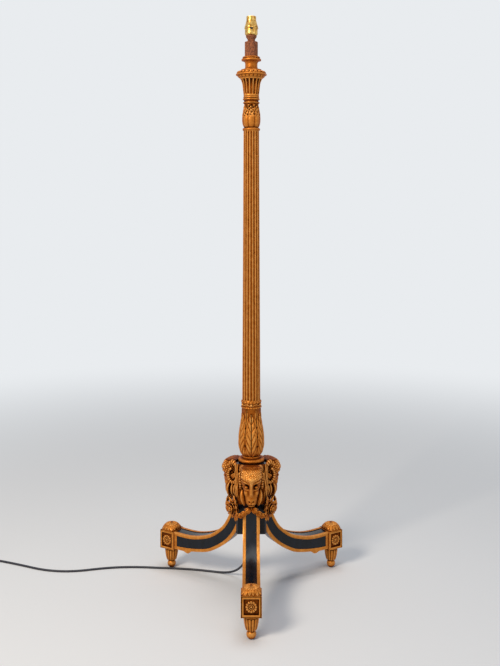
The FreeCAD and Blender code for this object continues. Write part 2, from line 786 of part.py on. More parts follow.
def set_plug(shape):
    """The plug is modelled along +X from its cord entry, and set at the end of the coil."""
    entry, degrees = plug_places()
    shape.rotate(Vector(), Vector(0, 0, 1), degrees)
    shape.translate(Vector(entry.x, entry.y, 0))
    return shape


def plug_outline(height):
    half, waist = plug_width / 2, plug_width / 2 - 8
    corners = [(0, -waist), (14, -half), (plug_length - 10, -half), (plug_length, -half + 12),
               (plug_length, half - 12), (plug_length - 10, half), (14, half), (0, waist)]
    points = [Vector(x, y, height) for x, y in corners]
    return Part.Face(Part.makePolygon(points + points[:1]))


def plug_cover():
    cover = plug_outline(0).extrude(Vector(0, 0, plug_cover_height))
    return set_plug(cover.makeFillet(2.5, [e for e in cover.Edges if e.CenterOfMass.z < 0.01]))


def plug_body():
    body = plug_outline(plug_cover_height).extrude(Vector(0, 0, plug_height - plug_cover_height))
    return set_plug(body.makeFillet(1.5, [e for e in body.Edges if e.CenterOfMass.z > plug_height - 0.01]))


def plug_pins():
    """The long earth pin is furthest from the cord, and the live and neutral pins face along."""
    earth = box((38, -2, plug_height), (46, 2, plug_height + 22.7))
    pins = [earth]
    for side in (-1, 1):
        y = side * 11.1
        pins.append(box((17.8, y - 3.2, plug_height), (21.8, y + 3.2, plug_height + 17.7)))
    return Part.makeCompound([set_plug(pin) for pin in pins])


def build():
    parts = {
        "lampholder_barrel": lampholder_barrel(),
        "shade_ring": shade_ring(),
        "lampholder_cap": lampholder_cap(),
        "lampholder_insulator": lampholder_insulator(),
        "contact_plunger_front": contact_plunger(-1),
        "contact_plunger_back": contact_plunger(1),
        "plunger_spring_front": plunger_spring(-1),
        "plunger_spring_back": plunger_spring(1),
        "terminal_screws": terminal_screws(),
        "switch_push_bar": switch_push_bar(),
        "neck_bush": neck_bush(),
        "candle_sleeve": candle_sleeve(),
        "candle_socket": candle_socket(),
        "drip_pan": drip_pan(),
        "fluted_trumpet": trumpet(),
        "upper_collar": upper_collar(),
        "acanthus_cup": acanthus_cup(),
        "cup_ring": cup_ring(),
        "fluted_shaft": fluted_shaft(),
        "pearl_crown": pearl_crown(),
        "acanthus_baluster": acanthus_baluster(),
        "base_ring": base_ring(),
        "hub_core": hub_core(),
        "conduit_tube": tube(conduit_radius, conduit_radius - conduit_wall, conduit_bottom, conduit_top),
        "conduit_nuts": conduit_nuts(),
        "conduit_washers": conduit_washers(),
        "inner_flex": cylinder(inner_flex_radius, conduit_bottom, conduit_top - 1),
        "strain_relief": strain_relief(),
        "leg_dowels": leg_dowels(),
        "foot_dowels": foot_dowels(),
        "block_rosettes": block_rosettes(),
        "flex_cord": flex_cord(),
        "flex_coil": flex_coil(),
        "plug_cover": plug_cover(),
        "plug_body": plug_body(),
        "plug_pins": plug_pins(),
    }
    shapes = {"ram_head": ram_head(), "leg": ebonised_leg(), "leg_gilding": leg_gilding(),
              "corner_block": corner_block(), "dome_cap": dome_cap(), "foot": reeded_foot()}
    for name, shape in shapes.items():
        for where, degrees in directions.items():
            parts[name + "_" + where] = turn_to(shape, degrees)
    cluster = flower_cluster()
    for where, degrees in between.items():
        parts["flower_cluster_" + where] = turn_to(cluster, degrees)
    neighbours = [shapes["ram_head"], shapes["leg"], shapes["leg_gilding"],
                  turn_to(cluster, 60), turn_to(cluster, -60), turn_to(parts["hub_core"], 90)]
    swag = husk_swag(neighbours)
    for where, degrees in directions.items():
        parts["husk_swag_" + where] = turn_to(swag, degrees)
    return parts


os.makedirs("parts", exist_ok=True)
for name, shape in build().items():
    solids = shape.Solids
    if not shape.isValid() or not solids:
        print("not valid:", name)
    shape.exportStep("parts/" + name + ".step")
    print("%-24s %2d solids  %10.1f mm3" % (name, len(solids), shape.Volume))
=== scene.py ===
import json
import math
import bpy
import numpy as np
from numpy import array, clip, cos, linspace, maximum, minimum, pi, sin
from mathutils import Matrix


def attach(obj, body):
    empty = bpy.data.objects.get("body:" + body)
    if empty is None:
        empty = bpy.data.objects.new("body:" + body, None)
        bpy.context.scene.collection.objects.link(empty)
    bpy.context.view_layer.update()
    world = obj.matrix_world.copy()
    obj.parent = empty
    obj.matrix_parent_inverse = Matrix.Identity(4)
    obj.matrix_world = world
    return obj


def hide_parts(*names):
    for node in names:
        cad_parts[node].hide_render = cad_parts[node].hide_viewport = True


# Candlestick floor lamp: carved gilt wood on ebonised legs. Shapes are worked out in millimetres
# and become metres when a mesh is made. The front leg points along -Y.

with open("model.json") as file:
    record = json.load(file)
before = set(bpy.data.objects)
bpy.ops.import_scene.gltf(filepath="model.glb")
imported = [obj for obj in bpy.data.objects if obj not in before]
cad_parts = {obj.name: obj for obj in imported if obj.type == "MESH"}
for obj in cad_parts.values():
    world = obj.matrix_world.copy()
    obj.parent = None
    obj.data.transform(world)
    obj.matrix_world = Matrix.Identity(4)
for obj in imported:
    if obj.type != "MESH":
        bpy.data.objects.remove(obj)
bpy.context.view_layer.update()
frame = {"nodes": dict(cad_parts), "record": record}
headings = {"front": -90.0, "left": 150.0, "right": 30.0}
gaps = {"back": 90.0, "left": 210.0, "right": 330.0}


def toLinear(hexColour):  # sRGB hex to the linear values that a shader takes
    c = array([int(hexColour[i:i + 2], 16) / 255 for i in (1, 3, 5)])
    c = np.where(c <= 0.04045, c / 12.92, ((c + 0.055) / 1.055) ** 2.4)
    return (float(c[0]), float(c[1]), float(c[2]), 1.0)


def addNode(tree, kind, settings=None, links=None):
    # small-letter keys are the node's own properties, the others are its sockets; a link from a node
    # comes from its first output
    node = tree.nodes.new("ShaderNode" + kind)
    for key, value in (settings or {}).items():
        if isinstance(key, str) and key[0].islower():
            setattr(node, key, value)
        else:
            node.inputs[key].default_value = value
    for key, source in (links or {}).items():
        tree.links.new(getattr(source, "outputs", [source])[0], node.inputs[key])
    return node


def newMaterial(name):
    material = bpy.data.materials.new(name)
    material.use_nodes = True
    return material, material.node_tree, material.node_tree.nodes["Principled BSDF"]


def addObject(name, data):
    thing = bpy.data.objects.new(name, data)
    bpy.context.collection.objects.link(thing)
    return thing


def setRamp(node, stops):  # stops are (place, hex colour)
    ramp = node.color_ramp
    while len(ramp.elements) < len(stops):
        ramp.elements.new(0.5)
    for element, (place, colour) in zip(ramp.elements, stops):
        element.position = place
        element.color = toLinear(colour)


def blend(low, high, x):
    t = clip((x - low) / (high - low), 0, 1)
    return t * t * (3 - 2 * t)


def bump(x, width):  # a smooth hill one unit high
    return np.exp(-(x / width) ** 2)


def dome(x, power=2):  # a round-topped hill over x from -1 to 1
    return np.sqrt(clip(1 - x ** power, 0, 1))


def circle(count):  # angles spaced evenly round a full turn
    return np.arange(count) * 2 * pi / count


def unit(vectors):
    return vectors / np.linalg.norm(vectors, axis=-1, keepdims=True)


def xyz(x, y, z):  # one array of points from their coordinates, each repeated where it has to be
    return np.stack(np.broadcast_arrays(x, y, z), -1)


def curveThrough(points, count):
    # a smooth curve through the points: cubic pieces whose slope at a point is that of its neighbours
    p = np.asarray(points, float)
    t = linspace(0, len(p) - 1, count)
    i = clip(t.astype(int), 0, len(p) - 2)
    f = (t - i)[:, None]
    slope = np.gradient(p, axis=0)
    a, b, ma, mb = p[i], p[i + 1], slope[i], slope[i + 1]
    return ((2 * f ** 3 - 3 * f ** 2 + 1) * a + (f ** 3 - 2 * f ** 2 + f) * ma
        + (3 * f ** 2 - 2 * f ** 3) * b + (f ** 3 - f ** 2) * mb)


def evenly(points, count):  # the same run of points, spaced evenly along its length
    steps = np.linalg.norm(np.diff(points, axis=0), axis=1)
    at = np.concatenate([[0], np.cumsum(steps)])
    want = linspace(0, at[-1], count)
    return np.stack([np.interp(want, at, points[:, k]) for k in range(points.shape[1])], 1)


def turnedTo(points, degrees):
    # a point at (x, y, z) goes round the upright axis to (x cos a - y sin a, x sin a + y cos a, z)
    a = math.radians(degrees)
    x, y, z = np.moveaxis(points, -1, 0)
    return xyz(x * math.cos(a) - y * math.sin(a), x * math.sin(a) + y * math.cos(a), z)


def netOf(points, wearAndPaintedLight=0.0, wrapU=True, wrapV=False, capped=True):
    # a grid of points (u, v): every cell is a face between neighbours, wrapped where the form closes
    # on itself, and an open end is closed by a fan to the middle of its last ring
    nu, nv = points.shape[:2]
    index = np.arange(nu * nv).reshape(nu, nv)
    rows = np.vstack([index, index[:1]]) if wrapU else index
    cells = np.hstack([rows, rows[:, :1]]) if wrapV else rows
    quads = np.stack([cells[:-1, :-1], cells[1:, :-1], cells[1:, 1:], cells[:-1, 1:]], -1).reshape(-1, 4)
    verts, tone = points.reshape(-1, 3), np.broadcast_to(wearAndPaintedLight, (nu, nv))
    fans = np.zeros((0, 3), int)
    if capped and wrapU and not wrapV:
        first, last, n = index[:, 0], index[:, -1], nu * nv
        fans = np.vstack([xyz(n, np.roll(first, -1), first), xyz(n + 1, last, np.roll(last, -1))])
        verts = np.vstack([verts, points[:, 0].mean(0), points[:, -1].mean(0)])
        tone = np.append(tone, [tone[:, 0].mean(), tone[:, -1].mean()])
    return verts, quads, fans, tone.reshape(-1)


def moved(net, place):  # the same net with its points carried elsewhere by a function
    return (place(net[0]),) + tuple(net[1:])


def makePiece(name, nets, stands, slot="gilt_wood", sharp=50):
    # all nets of one piece in one mesh, in metres; each point's value of wear and painted light is kept for
    # its finish
    verts, tones, faces, start = [], [], [], 0
    for points, quads, fans, tone in nets:
        verts.append(points)
        tones.append(tone)
        faces += (quads + start).tolist() + (fans + start).tolist()
        start += len(points)
    mesh = bpy.data.meshes.new(name)
    mesh.from_pydata(np.vstack(verts) * 0.001, [], faces)
    wearAndPaintedLight = mesh.attributes.new("wearAndPaintedLight", "FLOAT", "POINT")
    wearAndPaintedLight.data.foreach_set("value", np.concatenate(tones).astype(np.float32))
    mesh.shade_smooth()
    mesh.set_sharp_from_angle(angle=math.radians(sharp))
    mesh.materials.append(finishes[slot])
    piece = addObject(name, mesh)
    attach(piece, "stand")
    if stands:
        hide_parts(stands)


def makeEach(name, node, nets, directions=headings, **options):  # one piece for each direction
    for where, degrees in directions.items():
        turned = [moved(n, lambda p: turnedTo(p, degrees)) for n in nets]
        makePiece(name + where, turned, node + where, **options)


cameraFacts = {"height": 1.070, "distance": 2.321, "focalPixels": 830.0, "horizon": 205.0, "axis": 251.3,
    "picture": (500, 666), "sensor": 36.0}
stageFacts = {"floor": "#ECEEF1", "beyond": "#E9ECEF", "radius": 14.0, "nearEnd": 0.8, "farStart": 3.4,
    "room": "#D8DEE6", "roomLight": 0.36}


def makeCamera(height, distance, focalPixels, horizon, axis, picture, sensor):
    wide, tall = picture
    data = bpy.data.cameras.new("camera")
    data.sensor_width = sensor
    data.lens = focalPixels * sensor / tall
    data.shift_y = (horizon - tall / 2) / tall
    data.shift_x = (wide / 2 - axis) / tall
    data.clip_end = 60
    camera = addObject("camera", data)
    camera.location = (0, -distance, height)
    camera.rotation_euler = (math.radians(90), 0, 0)
    bpy.context.scene.camera = camera


def makeLamp(name, place, aim, size, watts, colour):
    data = bpy.data.lights.new(name, "AREA")
    data.shape = "RECTANGLE"
    data.size, data.size_y = size
    data.energy = watts
    data.color = toLinear(colour)[:3]
    lamp = addObject(name, data)
    lamp.location = place
    way = array(place) - array(aim)
    lamp.rotation_euler = (math.atan2(math.hypot(way[0], way[1]), way[2]), 0,
        math.atan2(way[1], way[0]) + pi / 2)


def makeStage(facts):
    material, tree, shader = newMaterial("studioFloor")
    tree.nodes.clear()
    near = addNode(tree, "BsdfDiffuse", {"Color": toLinear(facts["floor"])})
    far = addNode(tree, "Emission", {"Color": toLinear(facts["beyond"])})
    place = addNode(tree, "TexCoord").outputs["Object"]
    reach = addNode(tree, "VectorMath", {"operation": "LENGTH"}, {0: place}).outputs["Value"]
    fade = addNode(tree, "MapRange", {"interpolation_type": "SMOOTHSTEP", "From Min": facts["nearEnd"],
        "From Max": facts["farStart"]}, {"Value": reach})
    mix = addNode(tree, "MixShader", None, {"Fac": fade, 1: near, 2: far})
    addNode(tree, "OutputMaterial", None, {"Surface": mix})
    a = circle(64)
    mesh = bpy.data.meshes.new("floor")
    mesh.from_pydata(xyz(cos(a), sin(a), 0) * facts["radius"], [], [list(range(64))])
    mesh.materials.append(material)
    addObject("floor", mesh)

    world = bpy.data.worlds.new("studio")
    bpy.context.scene.world = world
    world.use_nodes = True
    tree = world.node_tree
    tree.nodes.clear()
    room = addNode(tree, "Background", {"Color": toLinear(facts["room"]), "Strength": facts["roomLight"]})
    seen = addNode(tree, "Background", {"Color": toLinear(facts["beyond"]), "Strength": 1.0})
    path = addNode(tree, "LightPath").outputs
    pale = path["Is Camera Ray"]
    for ray in ("Is Glossy Ray", "Is Transmission Ray"):
        pale = addNode(tree, "Math", {"operation": "ADD", "use_clamp": True}, {0: pale, 1: path[ray]})
    mix = addNode(tree, "MixShader", None, {"Fac": pale, 1: room, 2: seen})
    addNode(tree, "OutputWorld", None, {"Surface": mix})


bpy.context.scene.view_settings.view_transform = "Standard"
makeCamera(**cameraFacts)
makeLamp("keyLamp", (-1.9, -2.3, 2.7), (0, 0, 0.8), (1.0, 1.0), 86, "#FFF2E0")
makeLamp("fillLamp", (2.4, -1.9, 1.5), (0, 0, 0.7), (1.6, 2.0), 8, "#EAF1FF")
makeLamp("topLamp", (0.2, 0.2, 3.3), (0, 0, 0), (1.6, 1.6), 26, "#FFFFFF")
makeStage(stageFacts)
print("camera, lamps and floor")


giltFacts = {"mottle": 0.011, "grain": 0.0011, "stops": [(0.0, "#160600"), (0.20, "#3E1904"),
    (0.36, "#7E3B0A"), (0.52, "#B06420"), (0.68, "#D1873B"), (0.84, "#ECAE62"), (1.0, "#FCD8A2")]}


def makeGilt(facts):
    # Water gilding over red clay on carved wood, toned with brown wax: warm metal, rubbed bright on the
    # high edges and left dark and dull in the hollows, where painted shade from ambient occlusion darkens it
    # further. The per-point value is -1 in a hollow and 1 on an edge, and in places also paints light and
    # shade.
    material, tree, shader = newMaterial("waterGiltWood")

    def scaled(source, factor, plus):
        settings, links = {"operation": "MULTIPLY_ADD", 1: factor}, {0: source}
        (settings if isinstance(plus, float) else links)[2] = plus
        return addNode(tree, "Math", settings, links)

    place = addNode(tree, "TexCoord").outputs["Object"]
    wearAndPaintedLight = addNode(tree, "Attribute", {"attribute_name": "wearAndPaintedLight"}).outputs["Fac"]
    mottle = addNode(tree, "TexNoise", {"Scale": 1 / facts["mottle"], "Detail": 5.0, "Roughness": 0.6},
        {"Vector": place})
    speck = addNode(tree, "TexNoise", {"Scale": 1 / facts["grain"], "Detail": 2.0}, {"Vector": place})
    # ambient occlusion darkens the colour in crevices and where parts meet: painted shade
    occlusionShade = addNode(tree, "AmbientOcclusion", {"samples": 6, "Distance": 0.012}).outputs["AO"]
    high = scaled(wearAndPaintedLight, 0.24, scaled(occlusionShade, 0.55, -0.02))
    dust = scaled(speck, 0.06, scaled(mottle, 0.34, -0.17))
    level = addNode(tree, "Math", {"operation": "ADD"}, {0: high, 1: dust})
    ramp = addNode(tree, "ValToRGB", None, {"Fac": level})
    setRamp(ramp, facts["stops"])
    dull = addNode(tree, "MapRange", {"From Min": 0.1, "From Max": 0.8, "To Min": 0.66, "To Max": 0.28},
        {"Value": level})
    tooth = addNode(tree, "Bump", {"Strength": 0.25, "Distance": 0.0006}, {"Height": speck})
    tint = "Specular Tint"
    for source, socket in ((ramp, "Base Color"), (ramp, tint), (dull, "Roughness"), (tooth, "Normal")):
        tree.links.new(source.outputs[0], shader.inputs[socket])
    shader.inputs["Metallic"].default_value = 0.45
    return material


def makeFinish(name, dark, light, roughness, scale, metallic=0.0, relief=0.0, stretch=(1, 1, 1), shine=0.5):
    # a finish whose colour wanders between two tones over a pattern of the given size in metres
    material, tree, shader = newMaterial(name)
    place = addNode(tree, "TexCoord").outputs["Object"]
    laid = addNode(tree, "Mapping", {"Scale": stretch}, {"Vector": place})
    pattern = {"Scale": 1 / scale, "Detail": 4.0, "Roughness": 0.6}
    noise = addNode(tree, "TexNoise", pattern, {"Vector": laid})
    ramp = addNode(tree, "ValToRGB", None, {"Fac": noise})
    setRamp(ramp, [(0.35, dark), (0.65, light)])
    rough = addNode(tree, "MapRange", {"To Min": roughness[0], "To Max": roughness[1]}, {"Value": noise})
    tree.links.new(ramp.outputs[0], shader.inputs["Base Color"])
    tree.links.new(rough.outputs[0], shader.inputs["Roughness"])
    shader.inputs["Metallic"].default_value = metallic
    shader.inputs["Specular IOR Level"].default_value = shine
    if relief:
        tooth = addNode(tree, "Bump", {"Strength": 0.6, "Distance": relief}, {"Height": noise})
        tree.links.new(tooth.outputs[0], shader.inputs["Normal"])
    return material


finishes = {
    "gilt_wood": makeGilt(giltFacts),
    # black stain under shellac: a deep blue-black with a soft gloss and the faint pull of the brush
    "ebonised_wood": makeFinish("ebonisedWood", "#04070C", "#0D141F", (0.20, 0.30), 0.012,
                                stretch=(1, 1, 0.25), shine=0.30),
    # painted card tube: rough red-brown with dark pits
    "candle_sleeve": makeFinish("paintedCardTube", "#4A2210", "#A86238", (0.75, 0.95), 0.0035,
                                relief=0.0006),
    # lacquered brass, spun and polished, slightly uneven where the lacquer has aged
    "holder_brass": makeFinish("lacqueredBrass", "#A87021", "#EFC877", (0.20, 0.32), 0.007, metallic=1.0),
    "contact_brass": makeFinish("plainTurnedBrass", "#A98043", "#C9A361", (0.30, 0.45), 0.003, metallic=1.0),
    "zinc_steel": makeFinish("zincPlatedSteel", "#8D9092", "#B9BABA", (0.32, 0.48), 0.004, metallic=1.0),
    "phenolic": makeFinish("mouldedPhenolic", "#0A0706", "#1E1512", (0.35, 0.5), 0.004),
    # PVC sheath: dark with a violet cast, satin, with fine scuffs
    "flex_sheath": makeFinish("pvcSheath", "#15151C", "#2B2B38", (0.38, 0.55), 0.002),
    "flex_rubber": makeFinish("mouldedRubber", "#101014", "#1E1E24", (0.55, 0.75), 0.002, relief=0.0001),
    "beech_dowel": makeFinish("plainBeech", "#9C7048", "#C99B6E", (0.6, 0.8), 0.002, stretch=(1, 1, 0.1)),
    "plug_plastic": makeFinish("mouldedPlugPlastic", "#0B0B0D", "#1A1A1E", (0.28, 0.4), 0.003)}
for part in frame["record"]["subparts"]:
    solid = frame["nodes"][part["node"]]
    solid.data.materials.clear()
    solid.data.materials.append(finishes[part["material_slot"]])
print("finishes")


flexFacts = {"diameter": 0.006, "start": (0, 0, 0.122), "length": 2.05,
    "route": [(0, 0, 122), (-1, 3, 103), (-7, 14, 84), (-18, 32, 58), (-32, 53, 32), (-50, 71, 14),
    (-72, 84, 5), (-97, 92, 3), (-128, 100, 3), (-163, 108, 3), (-199, 113, 3), (-236, 118, 3),
    (-270, 120, 3), (-317, 125, 3), (-365, 126, 3), (-411, 122, 3), (-457, 112, 3), (-500, 100, 3),
    (-546, 96, 3), (-594, 103, 3), (-630, 115, 3), (-673, 135, 3), (-713, 152, 3), (-750, 167, 3),
    (-789, 177.08, 3), (-819, 177.85, 3)], "centre": (-825.0, 219.0), "outer": 41.0, "pitch": 6.6,
    "windings": 5.25, "perTurn": 16, "tail": 42.0}


def makeFlex(diameter, start, length, route, centre, outer, pitch, windings, perTurn, tail):
    # the turns wind in on the floor, climb one layer at the middle and wind out again; each point is
    # set out a little, because the curve runs inside its points
    total = 2 * pi * windings
    angle = np.arange(0, total + 1e-6, 2 * pi / perTurn)
    middle = total / 2
    radius = outer - pitch * (middle - abs(middle - angle)) / (2 * pi)
    radius = radius / (0.25 * (3 + math.cos(2 * pi / perTurn)))
    rise = pitch * blend(-0.5, 0.5, (angle - middle) / pi)
    around = -pi / 2 - angle
    turns = xyz(centre[0] + radius * cos(around), centre[1] + radius * sin(around), 3 + rise)
    points = np.vstack([route, turns, turns[-1:] + [0, tail, 0]]) * 0.001
    data = bpy.data.curves.new("flexLead", "CURVE")
    data.dimensions = "3D"
    spline = data.splines.new("NURBS")
    spline.points.add(len(points) - 1)
    spline.points.foreach_set("co", np.column_stack([points, np.ones(len(points))]).ravel())
    spline.order_u = 3
    spline.use_endpoint_u = True
    spline.resolution_u = 8
    data.bevel_depth = diameter / 2
    data.bevel_resolution = 6
    data.use_fill_caps = True
    data.materials.append(finishes["flex_sheath"])
    flex = addObject("flexLead", data)
    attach(flex, "stand")
    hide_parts("flex_cord", "flex_coil")


makeFlex(**flexFacts)
print("flex and its coil")


def arcThrough(start, middle, end, fine):
    # the circle through three points, walked from the first past the second to the third
    (ax, ay), (bx, by), (cx, cy) = start, middle, end
    d = 2 * (ax * (by - cy) + bx * (cy - ay) + cx * (ay - by))
    ux = ((ax**2 + ay**2) * (by - cy) + (bx**2 + by**2) * (cy - ay) + (cx**2 + cy**2) * (ay - by)) / d
    uy = ((ax**2 + ay**2) * (cx - bx) + (bx**2 + by**2) * (ax - cx) + (cx**2 + cy**2) * (bx - ax)) / d
    a = np.unwrap([math.atan2(y - uy, x - ux) for x, y in (start, middle, end)], period=2 * pi)
    radius = math.hypot(ax - ux, ay - uy)
    count = max(5, int(radius * abs(a[2] - a[0]) / fine) + 2)
    t = linspace(a[0], a[2], count)
    return np.stack([ux + radius * cos(t), uy + radius * sin(t)], 1)


def profileOf(start, *steps, fine=1.5, soft=0.6):
    # a closed run of (radius, height) points, counter-clockwise: a point ends a straight edge, a pair of
    # points is an arc through the first to the second, a list is a smooth curve; corners are eased
    run = [array([start], float)]
    for step in steps + (start,):
        here = run[-1][-1]
        if isinstance(step, list):
            curve = curveThrough([tuple(here)] + step, 300)
            length = np.linalg.norm(np.diff(curve, axis=0), axis=1).sum()
            run.append(evenly(curve, int(length / fine) + 2)[1:])
        elif isinstance(step[0], tuple):
            run.append(arcThrough(here, step[0], step[1], fine)[1:])
        else:
            gap = math.hypot(step[0] - here[0], step[1] - here[1])
            if gap > 1e-6:
                run.append(linspace(here, step, max(1, int(gap / fine)) + 1)[1:])
    points = np.vstack(run)[:-1]
    a, b = np.roll(points, 1, 0) - points, np.roll(points, -1, 0) - points
    la, lb = np.linalg.norm(a, axis=1, keepdims=True), np.linalg.norm(b, axis=1, keepdims=True)
    corner = ((a * b).sum(1) / (la * lb)[:, 0]) > -0.9
    before = points + a / la * minimum(soft, 0.4 * la)
    after = points + b / lb * minimum(soft, 0.4 * lb)
    middle = 0.25 * before + 0.5 * points + 0.25 * after
    return np.vstack([np.stack(trio) if cut else trio[1][None] for cut, trio in
        zip(corner, zip(before, np.where(corner[:, None], middle, points), after))])


def blurred(field, cells):  # a plain average over a square of neighbours
    for axis in (0, 1):
        total = np.zeros_like(field)
        for step in range(-cells, cells + 1):
            total = total + np.roll(field, step, axis)
        field = total / (2 * cells + 1)
    return field


def wearOf(push, cells=3, depth=0.6):
    # a point that stands above its surroundings is rubbed bright, and one below them keeps its dirt
    return clip((push - blurred(push, cells)) / depth, -1, 1)


boreLimit = 9.0


def spun(profile, count, relief=None, depth=0.6, dirt=0.0, level=0.0):
    # every profile point (r, z) goes round the axis to (r cos a, r sin a, z); the relief, a function of
    # the angle from the front and of (r, z), moves it out along the profile's own normal. Dirt lies
    # where the relief is lower than the given level. The bore has no relief.
    r, z = profile.T
    run = np.roll(profile, -1, 0) - np.roll(profile, 1, 0)
    length = np.hypot(run[:, 0], run[:, 1])
    nr, nz = run[:, 1] / length, -run[:, 0] / length
    a = circle(count)
    push = np.zeros((count, len(r)))
    if relief:
        fromFront = (a + pi / 2 + pi) % (2 * pi) - pi
        push = push + relief(fromFront[:, None], r[None], z[None]) * (r > boreLimit)
    radius = r + push * nr
    points = xyz(radius * cos(a)[:, None], radius * sin(a)[:, None], z + push * nz)
    tone = clip(wearOf(push, depth=depth) + dirt * (push - level), -1, 1) if relief else 0.0
    return netOf(points, tone, wrapV=True)


def share(angle, count, offset=0.0):
    # how far across its own share of the circle a point lies, from -0.5 to 0.5
    turn = (angle - offset) * count / (2 * pi)
    return turn - np.round(turn)


def ballNet(centre, radius, squash=(1, 1, 1), around=20, down=12, wearAndPaintedLight=0.4):
    # latitude and longitude: (sin v cos u, sin v sin u, -cos v), stretched and set in place
    u = circle(around)
    v = linspace(0.12, pi - 0.12, down)
    ball = xyz(sin(v) * cos(u)[:, None], sin(v) * sin(u)[:, None], -cos(v))
    return netOf(ball * radius * array(squash) + array(centre), wearAndPaintedLight)


bore = 5.6
stack = {"hubTop": 354.5, "baluster": 373.0, "crown": 505.0, "shaft": 525.0, "shaftTop": 1277.0,
    "cup": 1285.0, "collar": 1354.0, "trumpet": 1374.0, "pan": 1425.0, "socket": 1448.0, "sleeve": 1484.0}


def fluted(angle, near, count, land, depth):
    # a hollow with a round bottom in the middle of each share, beside a flat land; it runs out in a
    # quarter round where "near", the way to its end, goes from 1 to 0
    hollow = dome(share(angle, count) / ((1 - land) / 2))
    return -depth * dome(1 - clip(near, 0, 1)) * hollow


shaftFacts = {"radii": (25.2, 21.8), "count": 18, "land": 0.30, "depth": 2.3, "end": 5.0}


def makeShaft(radii, count, land, depth, end):
    low, high = stack["shaft"], stack["shaftTop"]
    z = np.concatenate([np.arange(low, low + 10, 1.25), linspace(low + 10, high - 10, 40),
        high - np.arange(8.75, -0.1, -1.25)])
    profile = np.vstack([np.stack([np.interp(z, (low, high), radii), z], 1), [[bore, high], [bore, low]]])

    def relief(angle, radius, height):
        near = minimum(height - low, high - height) / end - 0.2
        return fluted(angle, near, count, land, depth)

    makePiece("fluteShaft", [spun(profile, count * 20, relief, 1.5, 0.32, -1.7)], "fluted_shaft", sharp=60)


trumpetFacts = {"count": 16, "land": 0.24, "depth": 2.5, "low": 1378.0, "high": 1421.0}


def makeTrumpet(count, land, depth, low, high):
    profile = profileOf((bore, stack["trumpet"]), (21.4, stack["trumpet"]),
        [(22.0, 1380.0), (23.5, 1392.0), (25.4, 1408.0), (27.4, 1415.0), (29.2, 1420.0)],
        ((30.6, 1421.6), (33.6, stack["pan"])), (bore, stack["pan"]), fine=1.6)

    def relief(angle, radius, height):
        near = minimum(height - low, high - height) / 5.0
        return fluted(angle, near, count, land, depth * (1 + 0.5 * blend(1395, 1415, height)))

    makePiece("fluteTrumpet", [spun(profile, count * 18, relief, 1.4, 0.26, -1.1)], "fluted_trumpet")


panFacts = {"count": 20, "deep": 3.4}


def makePan(count, deep):
    profile = profileOf((bore, stack["pan"]), (33.4, stack["pan"]), ((37.0, 1427.3), (38.2, 1431.4)),
        (41.4, 1431.9), ((43.4, 1434.0), (41.8, 1436.0)), (40.2, 1436.2), ((40.6, 1440.6), (36.6, 1443.2)),
        ((33.4, 1443.6), (31.0, 1442.6)), ((29.4, 1445.0), (28.4, stack["socket"])),
        (bore, stack["socket"]), fine=0.8)

    def relief(angle, radius, height):
        groove = 1 - dome(share(angle, count) * 2)
        top = blend(1436.3, 1437.6, height) * blend(30.6, 33.0, radius)
        under = blend(1431.6, 1430.2, height) * blend(30, 33, radius)
        return -deep * groove * top - 1.6 * groove * under

    makePiece("gadroonPan", [spun(profile, count * 16, relief, dirt=0.4, level=-0.5)], "drip_pan")


# piece: its node, the points round it, and its profile
plainFacts = {
    "candleSocket": ("candle_socket", 96, (bore, 1448), (25, 1448), ((19.4, 1450.6), (17.2, 1456)),
        (17.2, 1464), ((19.8, 1470), (27.4, 1473)), (27.4, 1477.5), (23.2, 1479),
        ((24.6, 1481.5), (23, 1484)), (bore, 1484)),
    "upperCollar": ("upper_collar", 96, (bore, 1354), (23.4, 1354), (23.4, 1356.4), (21, 1357.4),
        ((20.2, 1360), (21, 1362.6)), (23.6, 1363.8), (23.6, 1366.4), (21, 1367.4),
        ((22.4, 1370.4), (21, 1374)), (bore, 1374)),
    "cupRing": ("cup_ring", 96, (bore, 1277), (22, 1277), ((24.6, 1281), (22, 1285)), (bore, 1285)),
    "baseRing": ("base_ring", 120, (bore, 354.5), (32.5, 354.5), ((36.4, 360), (32.5, 365.5)), (25.6, 366),
        ((26.4, 369), (24, 373)), (bore, 373))}


def makePlainTurnings(facts):
    for name, (node, count, *profile) in facts.items():
        net = spun(profileOf(*profile), count)
        if name == "upperCollar":  # darker in its two hollows
            z = net[0][:, 2]
            net = net[:3] + (0.35 - 1.3 * clip(bump(z - 1360, 2.4) + bump(z - 1367.6, 0.8), 0, 1),)
        makePiece(name, [net], node)


def leafRing(angle, v, count, offset, width, lobes, tip):
    # one leaf to each share of the circle, from v = 0 at its foot to its tip. Its sides are cut into
    # rounded lobes that sweep upwards, and a double rib runs up its middle.
    side = abs(share(angle, count, offset))
    rise = clip(v / tip, 0, 1)
    outline = width * clip(1 - rise ** 3.2, 0, 1) ** 0.6
    sweep = v - 0.55 * side + 0.012 * sin(4 * angle + 9 * v)
    scallop = abs(sin(pi * lobes * sweep)) ** 0.7
    edge = outline * (0.78 + 0.22 * scallop)
    body = blend(-0.004, 0.035, edge - side) * (v < tip)
    across = clip(side / maximum(edge, 1e-3), 0, 1)
    swell = 0.42 + 0.72 * scallop * sin(pi * clip(0.16 + 0.78 * across, 0, 1)) ** 1.3 - 0.22 * across ** 2
    rib = 0.55 * bump(side - 0.040, 0.020) - 0.62 * bump(side, 0.016)
    return body * (swell * blend(0.02, 0.075, side) + rib)


balusterFacts = {"count": 6, "thick": 2.7, "outline": [(25.2, 377), (29.4, 383), (33.2, 395), (34.7, 413),
    (33.2, 435), (29.9, 456), (26.6, 477), (25.4, 499), (26.4, 505)]}


